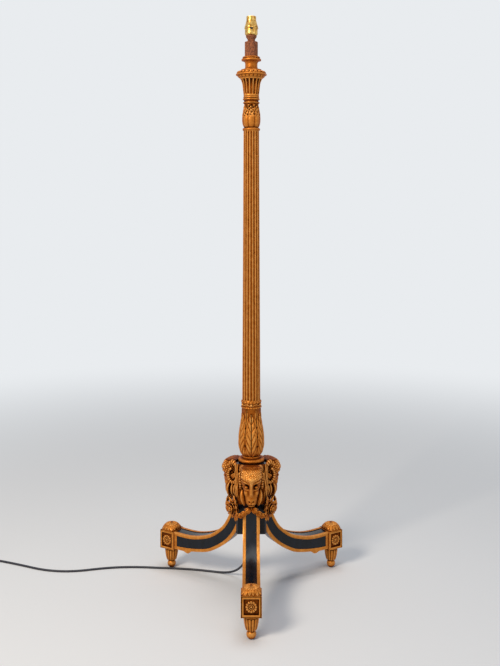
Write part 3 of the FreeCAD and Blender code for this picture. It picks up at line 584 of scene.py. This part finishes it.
def makeBaluster(count, thick, outline):
    low, high = stack["baluster"], stack["crown"]
    profile = profileOf((bore, low), (22.6, low), outline, (bore, high), fine=0.95)

    def relief(angle, radius, height):
        v = clip((height - low) / (high - low), 0, 1)
        front = leafRing(angle, v, count, 0.0, 0.47, 6.2, 0.90)
        behind = leafRing(angle, v, count, pi / count, 0.36, 6.8, 0.99) * blend(0.25, 0.45, v)
        calyx = 0.55 * bump(v - 0.07, 0.07) * dome(2 * share(angle, 12))
        push = thick * maximum(maximum(front, 0.70 * behind), calyx)
        between = share(angle, count, pi / count) * 2 * pi * radius / count
        drift = 1.6 * sin(3 * angle + 1)
        push = push - 2.6 * bump(between, 1.7) * (bump(height - 428 - drift, 3.4)
            + bump(height - 403 + drift, 3.0) + bump(height - 453 - drift, 2.8))
        return push * blend(0, 0.02, v) * blend(1.0, 0.985, v)

    makePiece("leafBaluster", [spun(profile, 480, relief, 1.0, 0.34, 1.45)], "acanthus_baluster")


cupFacts = {"count": 8, "thick": 2.3,
    # holes between the leaves: place along the ring from the front, height, size
    "holes": [(0.04, 1346, 2.1), (-0.30, 1344, 1.4), (0.36, 1341, 1.5), (0.02, 1337.5, 1.3),
        (-0.22, 1335, 1.5), (0.25, 1332, 1.3), (-0.42, 1328, 1.2), (0.10, 1327, 1.1), (0.47, 1322, 1.6),
        (-0.12, 1320, 1.1)],
    "outline": [(19.8, 1289), (22.6, 1297), (23.7, 1309), (22.9, 1321), (21.0, 1334), (19.6, 1346),
        (20.8, 1354)]}


def makeCup(count, thick, holes, outline):
    low, high = stack["cup"], stack["collar"]
    profile = profileOf((bore, low), (19.4, low), outline, (bore, high), fine=0.8)

    def relief(angle, radius, height):
        v = clip((height - low) / (high - low), 0, 1)
        wander = 1.5 * sin(5 * angle + 2) + 1.2 * sin(3 * angle)
        bulb = 0.85 * dome(2.0 * share(angle, count)) \
            * blend(0.0, 0.06, v) * blend(0.60, 0.42, v + 0.004 * wander)
        front = leafRing(angle, v, count, 0.0, 0.48, 5.5, 0.92) * blend(0.34, 0.46, v)
        behind = leafRing(angle, v, count, pi / count, 0.40, 6.5, 0.99) * blend(0.30, 0.5, v)
        push = thick * maximum(maximum(bulb, front), 0.75 * behind)
        eyes = 0
        for along, level, size in holes:
            gap = share(angle, count, along * 2 * pi / count) * 2 * pi * radius / count
            eyes = eyes + bump(gap, size) * bump(height - level - wander, size * 1.25)
        push = push - 2.9 * clip(eyes, 0, 1)
        return push * blend(0, 0.03, v) * blend(1.0, 0.97, v)

    makePiece("leafCup", [spun(profile, 420, relief, 0.9, 0.42, 1.35)], "acanthus_cup")


crownFacts = {"pearls": 6, "size": 3.5, "out": 27.2, "up": 515.6}


def makeCrown(pearls, size, out, up):
    profile = profileOf((bore, stack["crown"]), (26.2, stack["crown"]), ((28.2, 507.6), (26.6, 510.2)),
        (26.0, 520), ((27.8, 522), (26.8, 523.8)), (25.4, stack["shaft"]), (bore, stack["shaft"]), fine=0.7)

    def relief(angle, radius, height):
        rope = 1.5 * bump(height - 516.5 + 4.6 * cos(pi * share(angle, pearls)) ** 2, 1.3)
        frill = 0.9 * abs(cos(pi * share(angle, 18))) * blend(517, 520, height)
        tongue = 0.8 * abs(cos(pi * share(angle, 24))) * blend(510.5, 507.5, height)
        return (rope + frill + tongue) * blend(505, 505.8, height) * blend(525, 524.2, height)

    nets = [spun(profile, 360, relief, 0.6, 0.5, 0.55)]
    for a in circle(pearls) - pi / 2:
        nets.append(ballNet((out * cos(a), out * sin(a), up), size, wearAndPaintedLight=0.9))
    makePiece("pearlCrown", nets, "pearl_crown")


makeShaft(**shaftFacts)
makeTrumpet(**trumpetFacts)
makePan(**panFacts)
makePlainTurnings(plainFacts)
makeBaluster(**balusterFacts)
makeCup(**cupFacts)
makeCrown(**crownFacts)
print("column")


legFacts = {"width": 46.0, "raised": 1.5, "band": 8.5, "side": 8.4, "hubFlat": 27.0,
    "upper": [(248, 114), (206, 113), (175, 116), (142, 124.5), (120, 134), (99, 148.5), (82, 164),
    (71, 179), (60, 200), (52, 225)], "lower": [(186, 70), (158, 74.5), (131, 81), (110, 91), (88, 104.5),
    (67, 121), (48, 142), (36, 161), (27, 180)], "toe": [(248, 65.8), (219.5, 65.6), (213, 65.3),
    (207, 62.6), (202, 61.5), (197, 62.4), (192.5, 66.0), (189, 68.6)]}


def inward(run, distance):  # the run of points moved square to itself, to its left
    way = unit(np.gradient(run, axis=0))
    return run + distance * np.stack([-way[:, 1], way[:, 0]], 1)


def railNet(run, section, mirror, hand, inside=None):
    # a flat section of (side, depth, wear) points carried along the run: side goes across the leg, and
    # depth goes in from the run's own edge, whose inside lies to its left (hand 1) or right (hand -1);
    # points deeper than 1.5 mm keep to the smoother inside run, where one is given
    section = array(section, float)
    if mirror:
        section[:, 0] *= -1
    if mirror == (hand > 0):
        section = section[::-1]
    flat = np.stack([inward(run, hand * d) if inside is None or d < 1.5 else inward(inside, hand * d)
        for d in section[:, 1]])
    return netOf(xyz(flat[..., 0], section[:, :1], flat[..., 1]), section[:, 2:])


def makeLegs(facts):
    half, raised, band, deep = facts["width"] / 2, facts["raised"], facts["band"], facts["side"]
    upper = evenly(curveThrough(facts["upper"], 300), 90)
    toe = array(facts["toe"], float)
    lower = evenly(curveThrough(facts["lower"], 300), 70)
    lower = np.vstack([evenly(curveThrough(toe, 120), 24)[:-1], lower])
    plain = curveThrough([(250, 66.4), (222, 66.8)] + facts["lower"], 400)[::-1]
    plain = np.stack([lower[:, 0], np.interp(lower[:, 0], plain[:, 0], plain[:, 1])], 1)
    # the ebonised core: a rounded oblong section between the upper and the lower edge
    top = np.vstack([inward(upper, raised), [[45, 238], [facts["hubFlat"], 240]]])
    top, bottom = evenly(top, 110), evenly(lower, 110)
    core, edge = half - raised, 1.2
    ring = []
    for side, high in ((1, 0), (1, 1), (-1, 1), (-1, 0)):
        for k in range(4):
            t = pi / 6 * k
            out, up = 1 - math.sin(t), 1 - math.cos(t)
            if (side > 0) == (high > 0):
                out, up = up, out
            ring.append((side * (core - edge * out), high, up * edge * (-1 if high else 1)))
    across, lift, ease = array(ring).T[..., None]
    flat = bottom[None] * (1 - lift[..., None]) + top[None] * lift[..., None]
    coreNet = netOf(xyz(flat[..., 0], across, flat[..., 1] + ease))
    makeEach("leg_core_", "leg_", [coreNet], slot="ebonised_wood", sharp=40)
    # gilt edging: raised bands with eased edges, in the same metal finish as the carving
    lip = 0.45
    outer, inner = half, half - band
    # the third number is the tone: the top faces of the upper rail are lighter than its sides, a painted
    # highlight where they face up to the lamps
    topSection = [(inner, 0.55, -.5), (inner + lip, 0.05, .7), (inner + 1.2, 0, .55), (outer - 1.0, 0, .55),
        (outer - 0.25, 0.25, 1), (outer, 1.0, .6), (outer, deep - 0.9, .3), (outer - lip, deep - 0.1, .6),
        (outer - 1.0, deep, -.5), (half - raised - 0.4, deep, -.8), (half - raised - 0.4, raised + 0.4, 0),
        (inner, raised + 0.4, -.6)]
    lowSection = [(half - raised - 0.4, band, -.8), (outer - 1.0, band, -.5), (outer - lip, band - 0.1, .6),
        (outer, band - 0.9, .3), (outer, 1.0, .5), (outer - 0.25, 0.25, 1), (outer - 1.2, -0.2, .4),
        (outer - 7.0, -0.35, .2), (outer - 7.6, 0.1, -.4), (outer - 7.6, 1.2, -.4),
        (half - raised - 0.4, 1.4, 0)]
    nets = []
    for mirror in (False, True):
        nets += [railNet(upper, topSection, mirror, 1), railNet(lower, lowSection, mirror, -1, plain),
            endBar(half, raised, mirror)]
    makeEach("leg_edging_", "leg_gilding_", nets, sharp=40)


def endBar(half, raised, mirror):  # the upright bar across the outer end of a side panel
    section = array([(238.0, half - raised - 0.4), (238.0, half - 0.6), (238.5, half - 0.1),
        (247, half - 0.1), (248, half - 0.3), (248, half - raised - 0.4)])
    if mirror:
        section[:, 1] *= -1
    else:
        section = section[::-1]
    ends = [np.column_stack([section, np.full(6, z)]) for z in (68.0, 112.0)]
    return netOf(np.stack(ends, 1), 0.3)


blockFacts = {"inner": 248.0, "outer": 295.0, "width": 52.0, "bottom": 61.0, "top": 114.0, "deep": 3.0,
    "moulding": (7.6, 6.8), "rosette": 15.5, "petals": 12}


def boxNet(low, high, ease=0.9, wearAndPaintedLight=0.5):
    # an oblong whose four upright edges and both rims are eased: a rounded square carried upwards
    (x0, y0, z0), (x1, y1, z1) = low, high
    turn = np.concatenate([linspace(0, pi / 2, 4) + k * pi / 2 for k in range(4)])
    xs = np.repeat([x1 - ease, x0 + ease, x0 + ease, x1 - ease], 4) + ease * cos(turn)
    ys = np.repeat([y1 - ease, y1 - ease, y0 + ease, y0 + ease], 4) + ease * sin(turn)
    zs = array([z0, z0 + ease * 0.3, z0 + ease, z1 - ease, z1 - ease * 0.3, z1])
    shrink = array([ease, ease * 0.3, 0, 0, ease * 0.3, ease])
    cx, cy = (x0 + x1) / 2, (y0 + y1) / 2
    fx, fy = 1 - shrink / ((x1 - x0) / 2), 1 - shrink / ((y1 - y0) / 2)
    return netOf(xyz(cx + (xs - cx)[:, None] * fx, cy + (ys - cy)[:, None] * fy, zs), wearAndPaintedLight)


def frameNet(halfWide, halfHigh, band, deep):
    # a picture-frame moulding: its section of (in from the edge, height, wear) goes round an oblong with
    # mitred corners, in a flat plane whose outside is +z
    section = array([(0, -deep - 0.6, 0), (band, -deep - 0.6, -1), (band, -deep + 0.5, -1),
        (band - 0.5, -0.9, -0.2), (band - 1.4, -0.15, 0.8), (band - 2.4, 0.0, 0.4), (1.2, 0.0, 0.3),
        (0.4, -0.15, 0.9), (0, -0.8, 0.5)])
    corners = array([(1, -1), (1, 1), (-1, 1), (-1, -1)], float)
    x = corners[:, 0][:, None] * (halfWide - section[:, 0])
    y = corners[:, 1][:, None] * (halfHigh - section[:, 0])
    return netOf(xyz(x, y, section[:, 1])[:, ::-1], section[::-1, 2], wrapV=True)


def rosetteNet(radius, petals):
    # a round flower as a height over a disc: an outer and an inner ring of hollowed petals, a bead in
    # the middle, and a flat back
    a = circle(petals * 12)
    r = np.concatenate([linspace(0.25, radius, 44), linspace(radius - 0.2, 0.25, 3)])
    across = abs(share(a, petals))[:, None] * 2
    half = abs(share(a, petals, pi / petals))[:, None] * 2
    rr = r[None] / radius
    front = np.arange(len(r))[None] < 44
    outer = 2.7 * dome(across, 2.2) * (1 - 0.5 * bump(across, 0.4) * bump(rr - 0.72, 0.12))
    outer = outer * blend(1.0, 0.84, rr) * blend(0.46, 0.62, rr)
    inner = 2.1 * dome(half, 2.2) * blend(0.50, 0.40, rr) * blend(0.22, 0.30, rr)
    bead = 3.4 * dome(r[None] / 2.9)
    height = maximum(maximum(outer, inner), bead) + 0.2
    scallop = 1 - 0.10 * across ** 3 * blend(0.6, 1.0, rr)
    reach = r[None] * scallop
    points = xyz(reach * cos(a)[:, None], reach * sin(a)[:, None], np.where(front, height, -0.3))
    tone = np.where(front, clip(0.75 * (height - 1.15), -1, 1), -1)
    return netOf(points[:, ::-1], tone[:, ::-1])


def onFace(net, origin, right, up):
    # a flat form set on a face: its x goes right, its y up, and its z out of the face
    axes = array([right, up, np.cross(right, up)], float)
    return moved(net, lambda p: p @ axes + array(origin))


def makeBlocks(inner, outer, width, bottom, top, deep, moulding, rosette, petals):
    half, middle, height, tall = width / 2, (inner + outer) / 2, (bottom + top) / 2, (top - bottom) / 2
    nets = [boxNet((inner, -half + deep + 0.3, bottom + 1.5),
        (outer - deep - 0.3, half - deep - 0.3, top - 1.5), wearAndPaintedLight=-0.75)]
    for z in (bottom, top - 3.2):
        nets.append(boxNet((inner, -half, z), (outer, half, z + 3.2), ease=0.7, wearAndPaintedLight=0.35))
    flowers = []
    for origin, right, wide, band in (((outer, 0, height), (0, 1, 0), half, moulding[0]),
            ((middle, -half, height), (1, 0, 0), (outer - inner) / 2, moulding[1]),
            ((middle, half, height), (-1, 0, 0), (outer - inner) / 2, moulding[1])):
        nets.append(onFace(frameNet(wide, tall, band, deep), origin, right, (0, 0, 1)))
        seat = array(origin) - np.cross(right, (0, 0, 1)) * deep
        flowers.append(onFace(rosetteNet(rosette, petals), seat, right, (0, 0, 1)))
    nets += [boxNet((outer - deep - 1.5, s * (half - 1.2) - 1.2, bottom + 1),
        (outer - 0.25, s * (half - 1.2) + 1.2, top - 1), ease=0.6) for s in (-1, 1)]
    makeEach("block_", "corner_block_", nets, sharp=35)
    makePiece("rosettes", [moved(n, lambda p: turnedTo(p, a)) for a in headings.values() for n in flowers],
        "block_rosettes")


domeFacts = {"base": 114.0, "half": (22.9, 25.3), "square": 5.0, "count": 16,
    "profile": [(0.5, 18.0), (3, 17.6), (6, 16.8), (10, 16.0), (15, 14.4), (19, 12.0), (22.5, 9.0),
    (26, 5.3), (29, 3.0), (34, 1.3)]}
footFacts = {"top": 61.0, "reeds": 14, "ball": 12.2, "ballTop": 20.0}
footAxis = 272.0


def makeDomeNet(base, half, square, count, profile):
    # a low dome that is cut off square by the block's edges: its height depends on the distance from
    # the middle alone. Two rings of pointed leaves lie on it, the lower one hanging down its walls.
    angle = circle(count * 20)[:, None]
    reach = abs(cos(angle) / half[0]) ** square + abs(sin(angle) / half[1]) ** square
    reach = reach ** (-1 / square)
    shape = curveThrough(profile, 200)
    up = linspace(0, 1, 16)[None]
    radius = np.hstack([reach * (1 - 0.07 * up ** 1.5), reach * 0.93 * linspace(0.975, 0.02, 46)[None]])
    crest = np.interp(0.93 * reach, shape[:, 0], shape[:, 1])
    height = np.hstack([0.3 + (crest - 0.3) * up, np.interp(radius[:, 16:], shape[:, 0], shape[:, 1])])
    way = np.hypot(np.diff(radius, axis=1), np.diff(height, axis=1))
    along = 1 - np.hstack([0 * angle, np.cumsum(way, axis=1)]) / way.sum(axis=1, keepdims=True)
    push = np.zeros_like(along)
    for tip, thick, offset in ((0.58, 1.3, 0.0), (0.98, 1.2, pi / count)):
        across = abs(share(angle, count, offset)) * 2
        edge = tip * (1 - 0.24 * across ** 1.3)
        leaf = blend(0.0, 0.03, edge - along) * (1 - 0.55 * across ** 2) * (1 - 0.35 * bump(across, 0.12))
        push = maximum(push, thick * leaf) + 0.55 * thick * leaf * (offset == 0)
    push = push * blend(0.0, 0.10, along)
    radius = radius + push * 0.55
    z = base + height + push * 0.55 * (along < 0.8)
    points = xyz(radius * cos(angle), radius * sin(angle), z)
    tone = clip(wearOf(push, 3, 0.45) + 0.5 * (push - 0.75), -1, 1)
    tone = np.where(along > 0.995, -1, tone) - 0.6 * blend(0.16, 0.02, along)
    return netOf(points, clip(tone, -1, 1))


def makeDomesAndFeet(domeSizes, foot):
    domeNet = makeDomeNet(**domeSizes)
    # the foot: a collar, reeds that taper down, and a ball close under them
    collar = profileOf((0.6, 54), (18.2, 54), (18.2, 55.6), ((20.2, 58.2), (18.4, foot["top"])),
        (0.6, foot["top"]), fine=1.2)
    collarNet = spun(collar, 64)
    reedZ = linspace(21.5, 56.5, 44)
    reedR = np.interp(reedZ, (21.5, 22.5, 30, 40, 50, 56.5), (12.8, 13.8, 16.0, 18.0, 19.2, 19.5))
    reedProfile = np.vstack([[[0.6, 21.0], [11.6, 21.0]], np.stack([reedR, reedZ], 1), [[0.6, 57.0]]])

    def reeds(angle, radius, height):
        groove = 1 - dome(share(angle, foot["reeds"]) * 2)
        near = minimum(height - 21.5, 56.5 - height)
        return -2.4 * groove - 1.4 * (1 - blend(0, 2.6, near))

    reedNet = spun(reedProfile, foot["reeds"] * 16, reeds, 1.0, 0.55, -0.7)
    ball = profileOf((0.6, 0), (4.5, 0), ((foot["ball"], 10.6), (8.8, foot["ballTop"])),
        ((10.0, 20.8), (11.4, 22.2)), (0.6, 22.2), fine=1.0)
    ballPart = spun(ball, 64)
    ballPart = ballPart[:3] + (0.6 - 1.4 * blend(18.5, 20.5, ballPart[0][:, 2]),)
    nets = [moved(n, lambda p: p + [footAxis, 0, 0]) for n in (domeNet, collarNet, reedNet, ballPart)]
    makeEach("dome_", "dome_cap_", nets[:1])
    makeEach("toupie_foot_", "foot_", nets[1:])


makeLegs(legFacts)
makeBlocks(**blockFacts)
makeDomesAndFeet(domeFacts, footFacts)
print("legs, blocks and feet")


# carving of the hub: ram heads, roses, husk swags and wool
def tubeNet(path, wide, thick, facing, around=20, ridge=None, wearAndPaintedLight=0.0):
    # an oval section carried along a path. "facing" is the side that the oval's thin axis looks to;
    # the half widths may change along the path, and ridges may swell it.
    way = unit(np.gradient(path, axis=0))
    across = unit(np.cross(np.broadcast_to(array(facing, float), path.shape), way))
    face = np.cross(way, across)
    a = circle(around)[:, None, None]
    swell = 1 if ridge is None else ridge[None, :, None]
    points = path[None] + swell * (cos(a) * face[None] * array(thick)[None, :, None]
        + sin(a) * across[None] * array(wide)[None, :, None])
    return netOf(points, wearAndPaintedLight)


def leafForm(length, halfWide, halfThick, cup=0.0, lift=0.0, rib=0.0, teeth=0, blunt=0.62, around=18,
        along=20):
    # a thin closed leaf along +x: y = w cos a and z = h sin a, with its edges cupped, its middle lifted,
    # a rib on its upper side and teeth in its outline
    t = linspace(0.03, 0.995, along)[None]
    a = circle(around)[:, None]
    w = halfWide * sin(pi * t ** blunt) ** 0.8
    if teeth:
        w = w * (1 - 0.24 * abs(cos(pi * teeth * t)) ** 3)
    h = halfThick * (0.35 + 0.65 * sin(pi * t) ** 0.7)
    y = w * cos(a)
    top = clip(sin(a), 0, 1)
    ridge = rib * bump(y, 0.2 * halfWide) * top * sin(pi * t)
    z = h * sin(a) + cup * (y / halfWide) ** 2 + lift * sin(pi * t) + ridge
    wearAndPaintedLight = 0.75 * abs(cos(a)) ** 3 + 0.5 * bump(y, 0.2 * halfWide) * top * (rib > 0)
    wearAndPaintedLight = wearAndPaintedLight - 0.9 * (1 - blend(0, 0.4, t)) - 0.35 * top * (1 - abs(cos(a)))
    return netOf(xyz(length * t, y, z), wearAndPaintedLight)


def tilted(net, base, tilt, turn, height=0.0):
    # leans a leaf up by "tilt" degrees, starts it at a distance from the middle, and turns it round
    c, s = cos(math.radians(tilt)), sin(math.radians(tilt))

    def place(p):
        x, y, z = np.moveaxis(p, -1, 0)
        return turnedTo(xyz(x * c - z * s + base, y, x * s + z * c + height), turn)
    return moved(net, place)


def curls(u, v, size):
    # snail curls of wool on a staggered, wandering lattice: each is a round hill with a pit in it
    u, v = (u + 0.30 * size * sin(1.9 * v / size + 0.6 * u / size),
        v + 0.26 * size * sin(1.7 * u / size + 1.1 * v / size))
    row = np.round(v / (0.87 * size))
    fu = u / size + 0.5 * (row % 2)
    fu = fu - np.round(fu)
    fv = (v / (0.87 * size) - row) * 0.87
    d = np.hypot(fu, fv)
    return 0.5 + 0.5 * cos(2 * pi * clip(d, 0, 0.5)) - 0.55 * bump(d, 0.13)


headFacts = {"back": 38.0, "rows": [  # height, how far out the front is, half width, squareness
    (250, 71, 8.0, 2.0), (253, 76, 10.8, 2.1), (258, 79.2, 13.2, 2.3), (265, 80.8, 15.2, 2.4),
    (275, 81.6, 17.0, 2.3), (285, 82.2, 18.6, 2.1), (296, 82.8, 20.8, 2.0), (308, 83.6, 23.8, 2.1),
    (318, 84.6, 26, 2.5), (328, 85.4, 26.8, 2.8), (338, 84.6, 26.8, 3.0), (345, 82, 26.4, 3.0),
    (350, 78.5, 25.8, 3.0), (354, 73.5, 24.6, 3.0), (356, 68, 22.6, 3.0)],
    "around": 216, "levels": 150, "eye": (13.0, 307.0, 4.4)}
hornFacts = {"centre": (45.0, 322.5), "reach": (18.5, 27.5), "from": 38.0, "to": 425.0, "rings": 21}


def makeHeadNets(horn, back, rows, around, levels, eye):
    table = curveThrough(rows, levels)
    z, front, half, square = (c[None] for c in table.T)
    a = circle(around)[:, None]
    a = a - 0.28 * sin(a)  # more points towards the front, where the face is
    depth = (front - back) / 2
    ca, sa = cos(a), sin(a)
    x = back + depth + depth * np.sign(ca) * abs(ca) ** (2 / square)
    y = half * np.sign(sa) * abs(sa) ** (2 / square)
    side = abs(y)
    ahead = blend(0.05, 0.45, ca)
    nose = 5.6 * bump(side, 4.6 + 5.0 * blend(312, 330, z)) * blend(276, 292, z) * blend(340, 326, z)
    muzzle = 1.6 * bump(side, 10) * bump(z - 270, 9)
    socket = -7.4 * bump(side - 13.0, 6.6) * bump(z - 308, 9.5)
    brow = 4.0 * bump(side - 14.0, 9.0) * bump(z - (313.5 + 0.42 * side), 3.4)
    lid = 2.6 * bump(side - 14, 6.0) * bump(z - (298.5 + 0.10 * side), 1.9)
    cheek = 3.0 * bump(side - 15.5, 6.0) * bump(z - 289, 7.5)
    hollow = -3.4 * bump(side - 8.6, 3.4) * bump(z - 290, 10)
    nostril = -3.0 * bump(side - 5.2, 2.2) * bump(z - (266 + 0.3 * side), 2.8)
    mouth = -2.6 * bump(z - (257.6 - 0.10 * side), 1.5) * blend(13.5, 9, side)
    lip = 1.3 * bump(z - 262, 3.0) * bump(side, 9) - 1.6 * bump(side, 1.3) * bump(z - 262, 5)
    wool = curls(y, z + 0.9 * clip(80 - x, 0, 60), 4.9)
    mane = curls(x - 38 + 0.5 * z, z - 0.5 * x, 8.5)
    crown = blend(319, 325, z + 6 - 0.55 * side) * ahead
    flank = blend(0.45, 0.0, ca) * blend(292, 302, z)
    push = ahead * (nose + muzzle + socket + brow + lid + cheek + hollow + nostril + mouth + lip)
    cheekward = blend(0.80, 0.55, ca)
    push = push + 1.9 * wool * crown * (1 - cheekward) + 2.4 * crown * bump(z - 331, 9)
    push = push + 3.0 * mane * maximum(flank, cheekward * blend(316, 322, z))
    push = push + abs(cos(pi * (x - 30) / 8.0)) * blend(0.35, 0.1, ca) * blend(296, 288, z)
    points = xyz(x + push * maximum(ca, 0) ** 0.8, y + push * sa * 0.85, z + 0.35 * push * (z > 345))
    # the colour: wear from the relief, with a painted highlight on the forehead and along the nose ridge,
    # and painted shade towards the back of the head, in the eye sockets and at its top under the base ring
    tone = wearOf(push, 4, 1.1) + 0.5 * crown - 0.5 * blend(0.2, -0.4, ca) - 1.1 * blend(349, 354, z) \
        + 0.15 * bump(side, 5) * blend(284, 294, z) * ahead * blend(330, 322, z) \
        - 0.8 * bump(side - 12.5, 7) * bump(z - 307, 10) * ahead
    # the block that fills the back of the head is at the darkest tone: painted shade behind the face
    nets = [netOf(points, clip(tone, -1, 1)), boxNet((27.2, -19.5, 262), (46, 19.5, 350), wearAndPaintedLight=-1.0)]
    for hand in (-1, 1):
        nets.append(ballNet((78.0, hand * eye[0], eye[1]), eye[2], (0.9, 1.15, 0.85), wearAndPaintedLight=0.2))
        # the horn: an oval turn round the ear that draws in as it comes forward, ringed all along
        phi = np.radians(linspace(horn["from"], horn["to"], 240))
        s = (phi - phi[0]) / (phi[-1] - phi[0])
        draw = 1 - 0.56 * blend(0.52, 1.0, s)
        path = np.stack([horn["centre"][0] + horn["reach"][0] * draw * cos(phi),
            hand * (20.0 + 8.0 * blend(0, 0.3, s) + 3.0 * blend(0.5, 1, s)),
            horn["centre"][1] + horn["reach"][1] * draw * sin(phi)], 1)
        thick = 7.2 - 4.3 * s ** 0.9
        saw = (s * horn["rings"]) % 1
        rings = 0.86 + 0.24 * abs(sin(pi * saw)) ** 0.8
        tone = clip(2.2 * (abs(sin(pi * saw)) - 0.55), -1, 0.9)[None] + np.zeros((20, 1))
        nets.append(tubeNet(path, thick, thick * 0.95, (0, hand, 0), ridge=rings, wearAndPaintedLight=tone))
        nets.append(ballNet(path[-1] + [0, hand * 0.8, 0], 3.7, wearAndPaintedLight=0.8))
        # the ear: a cupped leaf that lies back inside the turn of the horn
        ear = leafForm(29, 5.6, 1.6, cup=2.6, lift=1.0, rib=0.5)
        way = unit(array([-0.72, 0.06 * hand, 0.69]))
        up = unit(array([0, hand, 0]) - way * way[1] * hand)
        nets.append(onFace(ear, (50.0, hand * 26.6, 306.0), way, np.cross(up, way)))
        # locks of wool that hang under the horn, the one in front the fullest
        t = linspace(0, 1, 26)
        body = sin(pi * clip(t * 0.92 + 0.06, 0, 1)) ** 0.55
        tone = clip(0.9 * abs(cos(circle(20)))[:, None] - 0.15 - 0.8 * (t > 0.93), -1, 1)
        for out, high, low, swing, full in ((31, 289, 255, 1.5, 1), (39, 289, 255, 1.5, 1),
                (47, 289, 255, 1.5, 1), (56.5, 292, 249.5, 5, 1.45)):
            path = np.stack([out + swing * sin(pi * t) + 2.0 * t,
                hand * (23.8 + 1.8 * sin(pi * t ** 0.7) - 5.6 * t ** 1.6), high + (low - high) * t], 1)
            nets.append(tubeNet(path, 3.9 * body, 4.0 * body * full, (0, hand, 0), wearAndPaintedLight=tone))
    return nets


# whorls of petals, the outer first: number, start from the middle, length, half width, lean, height, turn
roseFacts = {"flat": 46.0, "height": 232.0, "whorls": (
    (8, 8.0, 17.5, 8.8, 14, 4.0, 0), (7, 6.5, 14.0, 7.6, 38, 8.0, 25), (6, 5.2, 10.5, 5.6, 58, 12.5, 5),
    (5, 3.4, 7.0, 4.0, 74, 16.5, 30)),
    # leaves: direction (0 is up), length, half width, lean
    "leaves": ((-8, 31, 8.4, 5), (-38, 33, 8.4, 18), (34, 33, 8.4, 18), (-70, 34, 8.4, 24),
        (66, 34, 8.4, 24), (-100, 33, 8.2, 22), (98, 33, 8.2, 22), (-130, 33, 8.2, 16),
        (128, 33, 8.2, 16), (176, 33, 8.6, 2), (-158, 31, 7.2, 6), (154, 30, 7.0, 6))}


def makeRoseNets(flat, height, whorls, leaves):
    # whorls of cupped petals that close towards the middle, over a bed of toothed leaves
    nets = []
    for count, base, length, half, lean, lift, offset in whorls:
        for i in range(count):
            petal = leafForm(length, half, 1.5, cup=3.4, lift=-1.2, blunt=1.35, around=16, along=16)
            nets.append(tilted(petal, base, lean, offset + i * 360 / count, lift))
    for i in range(12):
        a, out = 2 * pi * i / 8, 4.2 if i < 8 else 1.5
        nets.append(ballNet((out * math.cos(a), out * math.sin(a), 22.5 if i < 8 else 23.4), 1.35, around=8,
            down=6, wearAndPaintedLight=0.9))
    disc = profileOf((0.5, -1.5), (12.0, -1.5), (16.0, 4), ((11, 14), (0.5, 20)), fine=2.5)
    bed = spun(disc, 32)
    # the bed under the petals is at the darkest tone: painted shade in the gaps between them
    nets.append(bed[:3] + (bed[3] - 1.0,))
    for turn, length, half, lean in leaves:
        leaf = leafForm(length, half, 1.7, cup=-2.0, lift=2.6, rib=1.2, teeth=4, blunt=0.72)
        nets.append(tilted(leaf, 4.0, lean, 90 - turn, 3.0))
    origin = (flat + 1.5, 0, height)
    return [onFace(n, origin, (0, 1, 0), (0, 0, 1)) for n in nets]


def makeSwagNets():
    # husks threaded on a cord that hangs from under the chin to the next rose: each is a broad grooved
    # leaf with a narrow one on either side, and overlaps the one before it
    nets = [ballNet((66, 0, 244.5), 5.0, (1, 1.1, 0.9), wearAndPaintedLight=0.5)]
    outward = array([1.0, 0, 0.15])
    for hand in (-1, 1):
        rope = evenly(curveThrough([(68, 0, 247), (67.5, hand * 12, 239), (62, hand * 24, 227),
            (54, hand * 34, 220), (45, hand * 42, 221)], 120), 61)
        thick = np.full(len(rope), 2.2)
        nets.append(tubeNet(rope, thick, thick, (1, 0, 0.1), around=10, wearAndPaintedLight=-0.9))
        for first, length in ((1, 23), (16, 22), (31, 20), (45, 15)):
            origin, end = rope[first], rope[min(first + 17, 60)]
            way = unit(end - origin)
            face = unit(outward - way * (outward @ way))
            across = np.cross(face, way)
            for spread, size, out in ((0, 1.0, 3.2), (-24, 0.82, 1.5), (24, 0.82, 1.5)):
                c, s = cos(math.radians(spread)), sin(math.radians(spread))
                husk = leafForm(length * size, 5.2 * size, 1.9, cup=-1.6, lift=3.0, rib=-1.1, blunt=0.8,
                    around=16, along=18)
                nets.append(onFace(husk, origin + out * face, way * c + across * s, across * c - way * s))
    return nets


def makeWoolNets():
    # waving locks of wool down the corner of the hub between two heads
    nets = []
    for side in (-5.6, -1.9, 1.9, 5.6):
        t = linspace(0, 1, 60)
        path = np.stack([47.4 - 0.05 * side ** 2 + 1.3 * sin(11 * t + side),
            side + 1.1 * sin(8 * t + 2 * side), 354 - 92 * t], 1)
        thick = 2.9 * sin(pi * clip(0.10 + 0.84 * t, 0, 1)) ** 0.35
        rim = cos(circle(12))[:, None]
        tone = clip(1.3 * rim - 0.5, -1, 1)
        nets.append(tubeNet(path, thick, thick, (1, 0, 0), around=12, wearAndPaintedLight=tone))
    return nets


def makeCollarNet(flat, corner, heights):
    # gilding over the hub's core, behind the heads, at a dark tone that is painted shade: the core's own
    # outline of three broad sides and three cut corners, a little larger, drawn in at its upper rim
    half = math.sqrt(3) * flat - 2 * (2 * flat - corner) / math.sqrt(3)
    sides = [(flat, -half, 0.0), (flat, half, 0.0)]
    outline = np.vstack([turnedTo(array(sides), a)[:, :2] for a in (-90, 30, 150)])
    shrink = array([1.0, 1.0, 0.97])
    return netOf(xyz(outline[:, :1] * shrink, outline[:, 1:] * shrink, array(heights)), -0.55)


makeEach("ram_", "ram_head_", makeHeadNets(hornFacts, **headFacts), sharp=70)
makeEach("swag_", "husk_swag_", makeSwagNets(), sharp=70)
makeEach("rose_", "flower_cluster_", makeRoseNets(**roseFacts) + makeWoolNets(), gaps, sharp=70)
makePiece("hubGilding", [makeCollarNet(27.5, 46.5, (243.0, 352.0, 354.2))], None, sharp=30)
print("hub")
